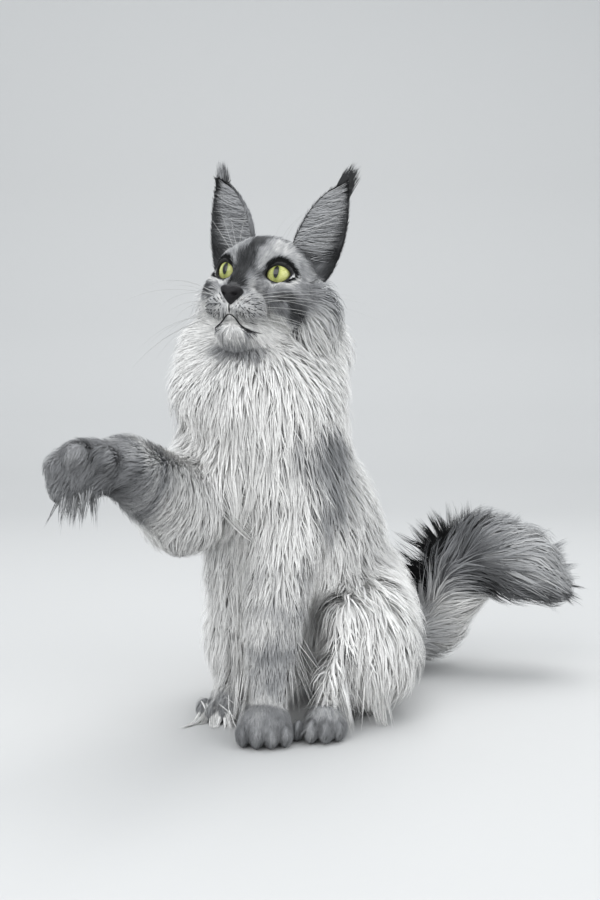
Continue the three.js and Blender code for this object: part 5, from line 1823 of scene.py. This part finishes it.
@dataclass
class Whiskers:
    """Whiskers and brow hairs: guide lines that a node tree turns into tapered horn."""

    body: Body
    joints: int = 9
    radius: float = 0.0002
    sides: int = 4
    tip: float = 0.12
    rng: np.random.Generator = field(default_factory=lambda: np.random.default_rng(WHISKER_SEED))

    def arc(self, root: np.ndarray, way: np.ndarray, droop: np.ndarray, length: float) -> np.ndarray:
        """Returns one bent guide line in the head's frame."""
        t = np.linspace(0, 1, self.joints)[:, None]
        return root + way * length * t + droop * length * t**2.1

    def guides(self) -> list[np.ndarray]:
        """Returns every whisker's line on the floor frame."""
        out = []
        for side in (-1, 1):
            spots = [(row, column) for row in range(4) for column in range(4) if row or column < 3]
            out += [self.whisker(side, row, column) for row, column in spots]
            out += [self.brow_hair(side, i) for i in range(4)]
        return out

    def whisker(self, side: int, row: int, column: int) -> np.ndarray:
        """Returns one whisker, by its row down the pad and its column back from the nose."""
        root = np.array([50 - 4.6 * column, side * (11 + 4.2 * column), -22 - 4.4 * row + 0.5 * column])
        rise = 0.42 - 0.2 * row + self.rng.normal(0, 0.05)
        way = unit(np.array([-0.12 - 0.12 * column + self.rng.normal(0, 0.04), side, rise]))
        droop = np.array([-0.26, 0.0, -0.22 + self.rng.normal(0, 0.05)])
        longest = 120 if side < 0 else 105
        return self.settle(root, way, droop, longest * (1 - 0.11 * column) * self.rng.uniform(0.82, 1.05))

    def brow_hair(self, side: int, i: int) -> np.ndarray:
        """Returns one of the long hairs over an eye."""
        root = np.array([25 - 1.5 * i, side * (15 + 3.4 * i) + self.rng.normal(0, 1.0), 25.0])
        way = unit(np.array([0.3, side * (0.05 + 0.2 * i) + self.rng.normal(0, 0.12), 1.0]))
        droop = np.array([-0.5, side * self.rng.uniform(0, 0.2), -0.12])
        return self.settle(root, way, droop, self.rng.uniform(30, 58))

    def settle(self, root: np.ndarray, way: np.ndarray, droop: np.ndarray, length: float) -> np.ndarray:
        """Moves a guide's root onto the skin and returns the guide on the floor frame."""
        start, _ = self.body.settled(self.body.skin, HEAD.outside(root)[None], 0.0, FAR, 4)
        return HEAD.outside(self.arc(HEAD.inside(start)[0], way, droop, length))

    def tree(self, material: bpy.types.Material) -> bpy.types.NodeTree:
        """Returns the node tree that gives guide lines a round, tapered body."""
        tree = bpy.data.node_groups.new("whisker_maker", "GeometryNodeTree")
        face = tree.interface
        face.new_socket("Geometry", in_out="INPUT", socket_type="NodeSocketGeometry")
        radius = face.new_socket("Root Radius", in_out="INPUT", socket_type="NodeSocketFloat")
        radius.default_value = self.radius
        sides = face.new_socket("Sides", in_out="INPUT", socket_type="NodeSocketInt")
        sides.default_value = self.sides
        face.new_socket("Geometry", in_out="OUTPUT", socket_type="NodeSocketGeometry")
        new, link = tree.nodes.new, tree.links.new
        start, end = new("NodeGroupInput"), new("NodeGroupOutput")
        curve, bend = new("GeometryNodeMeshToCurve"), new("GeometryNodeCurveSplineType")
        bend.spline_type = "POLY"
        link(start.outputs["Geometry"], curve.inputs[0])
        link(curve.outputs[0], bend.inputs[0])
        share = new("GeometryNodeSplineParameter")
        thin = new("ShaderNodeMapRange")
        thin.inputs["To Min"].default_value = 1.0
        thin.inputs["To Max"].default_value = self.tip
        link(share.outputs["Factor"], thin.inputs["Value"])
        ring = new("GeometryNodeCurvePrimitiveCircle")
        link(start.outputs["Sides"], ring.inputs["Resolution"])
        link(start.outputs["Root Radius"], ring.inputs["Radius"])
        tube = new("GeometryNodeCurveToMesh")
        tube.inputs["Fill Caps"].default_value = True
        link(bend.outputs[0], tube.inputs["Curve"])
        link(ring.outputs[0], tube.inputs["Profile Curve"])
        if "Scale" in tube.inputs:
            link(thin.outputs[0], tube.inputs["Scale"])
        else:
            size = new("GeometryNodeSetCurveRadius")
            link(bend.outputs[0], size.inputs["Curve"])
            link(thin.outputs[0], size.inputs["Radius"])
            link(size.outputs[0], tube.inputs["Curve"])
        real, dress = new("GeometryNodeRealizeInstances"), new("GeometryNodeSetMaterial")
        dress.inputs["Material"].default_value = material
        link(tube.outputs[0], real.inputs[0])
        link(real.outputs[0], dress.inputs[0])
        link(dress.outputs[0], end.inputs[0])
        return tree

    def build(self, material: bpy.types.Material) -> bpy.types.Object:
        """Returns all whiskers as one plain mesh."""
        guides = self.guides()
        points = np.concatenate(guides) * METRE
        edges = [(i, i + 1) for i in range(len(points) - 1) if (i + 1) % self.joints]
        mesh = bpy.data.meshes.new("whisker_guides")
        mesh.from_pydata(points.tolist(), edges, [])
        obj = placed("whisker_guides", mesh)
        modifier = obj.modifiers.new("whiskers", "NODES")
        modifier.node_group = self.tree(material)
        evaluated = obj.evaluated_get(bpy.context.evaluated_depsgraph_get())
        tubes = bpy.data.meshes.new_from_object(evaluated)
        tubes.name = "whiskers"
        bpy.data.objects.remove(obj)
        tubes.shade_smooth()
        return placed("whiskers", tubes)


@dataclass(frozen=True)
class Fringe:
    """A run of long hairs along a spine, with the hairs' ways at the spine's points.

    Attributes:
        spine: Points that the roots follow.
        ways: The hairs' ways at those points.
        width: How far to each side the roots stray.
        long: The longest hair.
        count: How many hairs there are.
        tone: Their grey.
    """

    spine: tuple[tuple[float, float, float], ...]
    ways: tuple[tuple[float, float, float], ...]
    width: float
    long: float
    count: int
    tone: float


Hairs = tuple[np.ndarray, np.ndarray, np.ndarray]


@dataclass
class LongHairs:
    """The long hairs in the ears, at their tips, on the tail and the paws, and the whisker pads' dots.

    Each set of hairs is their lines, the outward ways along them and their greys.

    Attributes:
        body: The cat's shape.
        inside_count: How many hairs grow inside each ear.
        tip_count: How many stand at its tip.
        tip_long: The longest of those.
        dot_hairs: How many hairs make one dot of a whisker pad.
        dot_long: Their length.
        lock_hairs: How many hairs of a fringe make one lock.
        least_locks: The fewest locks of a fringe.
        drawn: How far a lock's hairs are drawn together.
        lowest: The lowest that a hair may hang.
        rng: The source of every draw.
    """

    body: Body
    inside_count: int = 900
    tip_count: int = 260
    tip_long: float = 24.0
    dot_hairs: int = 4
    dot_long: float = 1.8
    lock_hairs: int = 28
    least_locks: int = 30
    drawn: float = 0.7
    lowest: float = 0.6
    rng: np.random.Generator = field(default_factory=lambda: np.random.default_rng(HAIR_SEED))

    @staticmethod
    def bent(root: np.ndarray, way: np.ndarray, bend: np.ndarray, length: float) -> np.ndarray:
        """Returns a hair that bends more the further out it is."""
        s = HAIR_SHARES[:, None]
        return root + way * length * s + bend * length * s**2

    def ear_hairs(self, ear: EarForm) -> Hairs:
        """Returns the furnishings of one ear and the tuft at its tip."""
        hairs = [self.inside_hair(ear) for _ in range(self.inside_count)]
        hairs += [self.tip_hair(ear) for _ in range(self.tip_count)]
        lines, tones = (np.array(column) for column in zip(*hairs))
        return HEAD.outside(lines), HEAD.turned(np.full(lines.shape, ear.opening())), tones

    def inside_hair(self, ear: EarForm) -> tuple[np.ndarray, float]:
        """Returns one hair that grows across the cup, most often from its inner edge, and its grey."""
        t = self.rng.uniform(0.02, 0.72)
        a = self.rng.uniform(0.02, 0.16) if self.rng.random() < 0.75 else self.rng.uniform(0.16, 0.5)
        root = ear.at(np.array([t]), np.array([a]), ear.wall)[0]
        inner = ear.edge(ear.inner, np.array([t]))[0]
        outer = ear.edge(ear.outer, np.array([min(t + 0.12, 0.98)]))[0]
        out, up = self.rng.uniform(0.1, 0.32), self.rng.uniform(0.1, 0.7)
        way = unit(unit(outer - inner) * 0.9 + ear.opening() * out + np.array([0, 0, up]))
        length = self.rng.uniform(0.5, 0.95) * np.linalg.norm(outer - inner) * (1.15 - a)
        bend = -ear.opening() * 0.16 + np.array([0, 0, 0.16])
        return self.bent(root, way, bend, length), self.rng.uniform(0.14, 0.46)

    def tip_hair(self, ear: EarForm) -> tuple[np.ndarray, float]:
        """Returns one hair of the tuft at an ear's tip, and its grey."""
        t = self.rng.uniform(0.86, 0.985)
        a, lift = self.rng.uniform(0, 1), self.rng.choice([0.0, ear.wall])
        root = ear.at(np.array([t]), np.array([a]), lift)[0]
        up = unit(ear.edge(ear.inner, np.array([0.99]))[0] - ear.edge(ear.inner, np.array([0.85]))[0])
        way = unit(np.array([-0.1, ear.side * -0.05, 1.0]) + up * 0.4 + self.rng.normal(0, 0.07, 3))
        length = self.rng.uniform(0.4, 1.0) * self.tip_long
        tone = 0.3 if ear.side < 0 and self.rng.random() < 0.6 else 0.04
        return self.bent(root, way, np.array([-0.08, ear.side * 0.05, 0]), length), tone

    def dots(self) -> Hairs:
        """Returns the short dark hairs in rows on the whisker pads."""
        spots = [
            (58.0, side * (7.0 + 3.4 * k + 0.8 * row), -23.5 - 4.0 * row - 0.5 * k)
            for side in (-1, 1)
            for row in range(4)
            for k in range(6)
        ]
        start = HEAD.outside(np.repeat(np.array(spots), self.dot_hairs, axis=0))
        start = start + self.rng.normal(0, 0.25, start.shape)
        start, out = self.body.settled(self.body.outline, start, 0.9, 8, 5)
        lie = self.body.lie(start)
        lie = unit(lie - out * dot(lie, out)[:, None])
        share = HAIR_SHARES[None, :, None]
        lines = start[:, None] + lie[:, None] * self.dot_long * share + out[:, None] * share**0.7
        return lines, np.repeat(out[:, None], 5, axis=1), self.rng.uniform(0.03, 0.09, len(start))

    def fringe(self, row: Fringe) -> Hairs:
        """Returns a fringe of long hairs, drawn together into locks."""
        spine, ways = np.array(row.spine, float), unit(np.array(row.ways, float))
        locks = max(row.count // self.lock_hairs, self.least_locks)
        lock = self.rng.integers(0, locks, row.count)
        at = self.rng.uniform(0, len(spine) - 1, locks)
        low = np.minimum(at.astype(int), len(spine) - 2)
        share = (at - low)[:, None]
        middle = spine[low] * (1 - share) + spine[low + 1] * share + self.rng.normal(0, row.width, (locks, 3))
        way = ways[low] * (1 - share) + ways[low + 1] * share
        way = unit(way + self.rng.normal(0, 0.14, (locks, 3)))[lock]
        length = row.long * self.rng.uniform(0.5, 1.0, locks)
        start = middle[lock] + self.rng.normal(0, row.width * 0.45, (row.count, 3))
        start, out = self.body.settled(self.body.skin, start, 1.0, 20, 3)
        foot = np.stack([np.bincount(lock, start[:, i], locks) for i in range(3)], axis=1)
        foot = foot / np.maximum(np.bincount(lock, minlength=locks), 1)[:, None]
        own = (length[lock] * self.rng.uniform(0.7, 1.05, row.count))[:, None]
        tip = foot[lock] + way * own + self.rng.normal(0, 0.03, (row.count, 3)) * own
        s = HAIR_SHARES[None, :, None]
        free = start[:, None] + way[:, None] * own[:, None] * s
        drawn = start[:, None] * (1 - s) + tip[:, None] * s
        lines = free * (1 - self.drawn) + drawn * self.drawn
        lines = lines + np.array([0.0, 0.0, -0.12]) * own[:, None] * s**2
        lines[..., 2] = np.maximum(lines[..., 2], self.lowest)
        return lines, np.repeat(out[:, None], 5, axis=1), row.tone * self.rng.uniform(0.6, 1.4, row.count)


LAMPS = (
    ("key_lamp", (-1.3, -1.9, 1.7), 2.4, 52.0),
    ("fill_lamp", (1.9, -1.5, 0.9), 2.0, 26.0),
    ("top_lamp", (0.3, 0.6, 2.3), 1.6, 30.0),
)


@dataclass
class Studio:
    """The plain pale floor, the soft lights and the camera."""

    eye: tuple[float, float, float] = (0.030, -1.0, 0.330)
    down: float = 4.2
    lens: float = 46.0
    aim: tuple[float, float, float] = (0.0, 0.05, 0.25)
    air: tuple[float, float, float, float] = (0.9, 0.95, 1.0, 1.0)
    glow: float = 0.98

    def floor(self) -> bpy.types.Object:
        """Returns a pale floor that sweeps up behind the cat."""
        profile = [(-3.0, 0.0), (1.6, 0.0), (2.0, 0.04), (2.35, 0.18), (2.6, 0.45), (2.7, 0.9), (2.72, 4.0)]
        points = np.array([(x, y, z) for y, z in profile for x in (-4.0, 4.0)]) / METRE
        faces = np.array([(2 * i, 2 * i + 1, 2 * i + 3, 2 * i + 2) for i in range(len(profile) - 1)])
        obj = make_mesh("studio_floor", points, faces)
        f = Finish("studio_paper")
        colour = f.mix(f.noise(Scale=90.0) * 0.2, (0.5, 0.5, 0.495, 1.0), grey(0.47))
        f.put(Base_Color=colour, Roughness=0.85)
        obj.data.materials.append(f.material)
        return obj

    def light(self, name: str, at: tuple, size: float, power: float) -> None:
        """Adds one soft lamp that faces the cat."""
        data = bpy.data.lights.new(name, "AREA")
        data.size = size
        data.energy = power
        obj = placed(name, data)
        obj.location = at
        obj.rotation_euler = (Vector(self.aim) - Vector(at)).to_track_quat("-Z", "Y").to_euler()

    def build(self) -> None:
        """Makes the floor, the lamps, the sky and the camera."""
        self.floor()
        for lamp in LAMPS:
            self.light(*lamp)
        world = bpy.data.worlds.new("studio_air")
        world.use_nodes = True
        background = world.node_tree.nodes["Background"]
        background.inputs[0].default_value = self.air
        background.inputs[1].default_value = self.glow
        bpy.context.scene.world = world
        bpy.context.scene.view_settings.view_transform = "Standard"
        data = bpy.data.cameras.new("photo_camera")
        data.lens = self.lens
        data.sensor_width = 36.0
        data.clip_end = 50.0
        obj = placed("photo_camera", data)
        obj.location = self.eye
        obj.rotation_euler = (math.radians(90 - self.down), 0.0, 0.0)
        bpy.context.scene.camera = obj


FRINGES = (
    Fringe(
        ((136, 226, 84), (146, 232, 116), (164, 236, 150), (192, 236, 172)),
        ((-0.8, 0, 0.5), (-0.7, 0, 0.7), (-0.45, 0, 0.9), (0.15, 0, 1)),
        11.0,
        64.0,
        1500,
        0.012,
    ),
    Fringe(
        ((-150, -128, 236), (-136, -130, 232), (-122, -122, 232)),
        ((-0.25, -0.2, -1), (-0.1, -0.2, -1), (0, -0.1, -1)),
        5.0,
        30.0,
        240,
        0.3,
    ),
    Fringe(
        ((40, 6, 78), (58, -2, 66), (80, 14, 62), (100, 44, 60)),
        ((-0.12, -0.25, -1), (0, -0.35, -1), (0.12, -0.35, -1), (0.2, -0.2, -1)),
        10.0,
        56.0,
        1500,
        0.74,
    ),
    Fringe(
        ((-78, 52, 62), (-58, 30, 60), (-34, 26, 58)),
        ((-0.3, -0.25, -1), (-0.1, -0.35, -1), (0.05, -0.35, -1)),
        9.0,
        64.0,
        1300,
        0.74,
    ),
    Fringe(
        ((282, 222, 126), (306, 219, 104), (300, 219, 80), (276, 220, 68)),
        ((0.8, 0, 0.35), (1, 0, 0.1), (0.95, 0, -0.3), (0.7, 0, -0.5)),
        10.0,
        40.0,
        700,
        0.3,
    ),
    Fringe(
        ((205, 238, 168), (236, 231, 172), (268, 225, 150)),
        ((0.35, 0, 1), (0.6, 0, 0.75), (0.75, 0, 0.5)),
        10.0,
        38.0,
        500,
        0.22,
    ),
    Fringe(
        ((-20, -14, 46), (4, -34, 44), (28, -14, 46)),
        ((-0.2, -0.15, -1), (0, -0.3, -1), (0.2, -0.15, -1)),
        5.0,
        22.0,
        500,
        0.5,
    ),
)
FRINGE_HALF = 0.36
DOT_HALF = 0.24
FURNISHING_HALF = 0.27
FLESH = (
    "muzzle",
    "head",
    "neck",
    "torso",
    "foreleg_right",
    "forepaw_right",
    "foreleg_left",
    "forepaw_left",
    "thigh_left",
    "hindpaw_left",
    "thigh_right",
    "hindpaw_right",
    "tail_base",
    "tail_middle",
    "tail_end",
    "ear_left",
    "ear_right",
)


@dataclass
class Cat:
    """The whole cat, built piece by piece."""

    body: Body = field(default_factory=Body)
    ears: tuple[EarForm, EarForm] = (EarForm(1), EarForm(-1))

    def surface(self) -> Surface:
        """Returns the skin with both ears, and what the coat needs of them."""
        points, faces = SkinForm(self.body).build()
        _, normals = self.body.slope(self.body.outline, points)
        values = self.body.tract(points), self.body.depth(points), self.body.lie(points)
        parts = [Surface(points, faces, normals, *values), *(ear.build() for ear in self.ears)]
        firsts = np.cumsum([0] + [len(part.points) for part in parts[:-1]])
        faces = np.concatenate([part.faces + first for part, first in zip(parts, firsts)])
        keys = ("points", "normals", "tract", "depth", "lie")
        values = {key: np.concatenate([getattr(part, key) for part in parts]) for key in keys}
        whole = Surface(faces=faces, **values)
        whole.uv = Unwrap().build(whole)
        return whole

    def skin(self, surface: Surface, markings: Markings) -> bpy.types.Object:
        """Returns the one skin that stands for all the flesh."""
        obj = make_mesh("cat_skin", surface.points, surface.faces)
        tone = markings.tone(surface.points, surface.tract == Tract.EARS.value)
        paint(obj, silver(tone * 0.95))
        lay_out(obj, surface.uv)
        obj.data.materials.append(skin_finish())
        return obj

    def coat(self, surface: Surface, markings: Markings) -> list[bpy.types.Object]:
        """Returns the coat's pieces; each band of tufts is split into pieces of no more than about PIECE_MOST
        faces.
        """
        finish = coat_finish()
        out = []
        for name, strands in Coat(self.body, surface).grow(markings).items():
            per = 6 * (strands.lines.shape[1] - 2) + 3
            parts = max(1, math.ceil(len(strands.half) * per / PIECE_MOST))
            for i in range(parts):
                pick = np.arange(i, len(strands.half), parts)
                obj = strands.cut(pick).build(f"{name}_{i + 1}" if parts > 1 else name)
                obj.data.materials.append(finish)
                out.append(obj)
        hairs = LongHairs(self.body)
        sets = [hairs.ear_hairs(ear) for ear in self.ears]
        out.append(self.long_hairs("coat_ear_furnishings", sets, FURNISHING_HALF, (0.8, 1.05), surface))
        hairs = LongHairs(self.body)
        sets = [*(hairs.fringe(row) for row in FRINGES), hairs.dots()]
        half = np.repeat([FRINGE_HALF, DOT_HALF], [sum(len(s[0]) for s in sets[:-1]), len(sets[-1][0])])
        out.append(self.long_hairs("coat_fringes", sets, half, (1.1, 0.95), surface))
        for obj in out[-2:]:
            obj.data.materials.append(finish)
        return out

    def long_hairs(
        self,
        name: str,
        sets: list[Hairs],
        half: float | np.ndarray,
        fade: tuple[float, float],
        surface: Surface,
    ) -> bpy.types.Object:
        """Returns one piece of long hairs.

        Args:
            name: The piece's name.
            sets: The hairs.
            half: Half their width.
            fade: How much of its grey a hair has at its root and its tip.
            surface: The skin with the ears.
        """
        lines, ways, tones = (np.concatenate([s[i] for s in sets]) for i in range(3))
        on_ears = surface.tract[surface.faces[:, 0]] == Tract.EARS.value
        uv = self.near_uv(surface, lines[:, 0], on_ears if "ear" in name else ~on_ears)
        tone = tones[:, None] * np.linspace(*fade, 5)[None]
        return Strands(lines, ways, np.full(len(lines), half), tone, uv).build(name)

    @staticmethod
    def near_uv(surface: Surface, roots: np.ndarray, where: np.ndarray) -> np.ndarray:
        """Returns the unwrapped place of the nearest wanted face to each root."""
        mine = np.flatnonzero(where)
        middles = surface.points[surface.faces[mine]].mean(axis=1)
        near = np.array([np.argmin(((middles - root) ** 2).sum(axis=1)) for root in roots])
        return surface.uv[mine[near]].mean(axis=1)

    def build(self) -> None:
        """Makes every piece, dresses it and sets it on the frame."""
        markings = Markings(self.body)
        surface = self.surface()
        skin = self.skin(surface, markings)
        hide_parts(*FLESH)
        self.report(skin)
        for obj in self.coat(surface, markings):
            self.report(obj)
        leather, iris = leather_finish(), eye_finish()
        for opening in EYES:
            eye = EyeBall(opening)
            ball, rim = eye.ball(), eye.lid_rim()
            ball.data.materials.append(iris)
            rim.data.materials.append(leather)
            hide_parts("eye_left" if opening.side > 0 else "eye_right")
            self.report(ball)
            self.report(rim)
        nose = NoseLeather().build()
        nose.data.materials.append(leather)
        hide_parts("nose")
        self.report(nose)
        lips = Lips(self.body).build()
        lips.data.materials.append(leather)
        self.report(lips)
        self.report(Whiskers(self.body).build(whisker_finish("pale_whisker", 0.4)))

    @staticmethod
    def report(obj: bpy.types.Object) -> None:
        """Sets a piece on the frame's body and logs its size."""
        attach(obj, "root")
        LOG.info("%s: %d faces", obj.name, len(obj.data.polygons))


def main() -> None:
    """Builds the studio and the cat."""
    logging.basicConfig(level=logging.INFO, format="%(message)s", force=True)
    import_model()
    Studio().build()
    Cat().build()


if __name__ == "__main__":
    main()
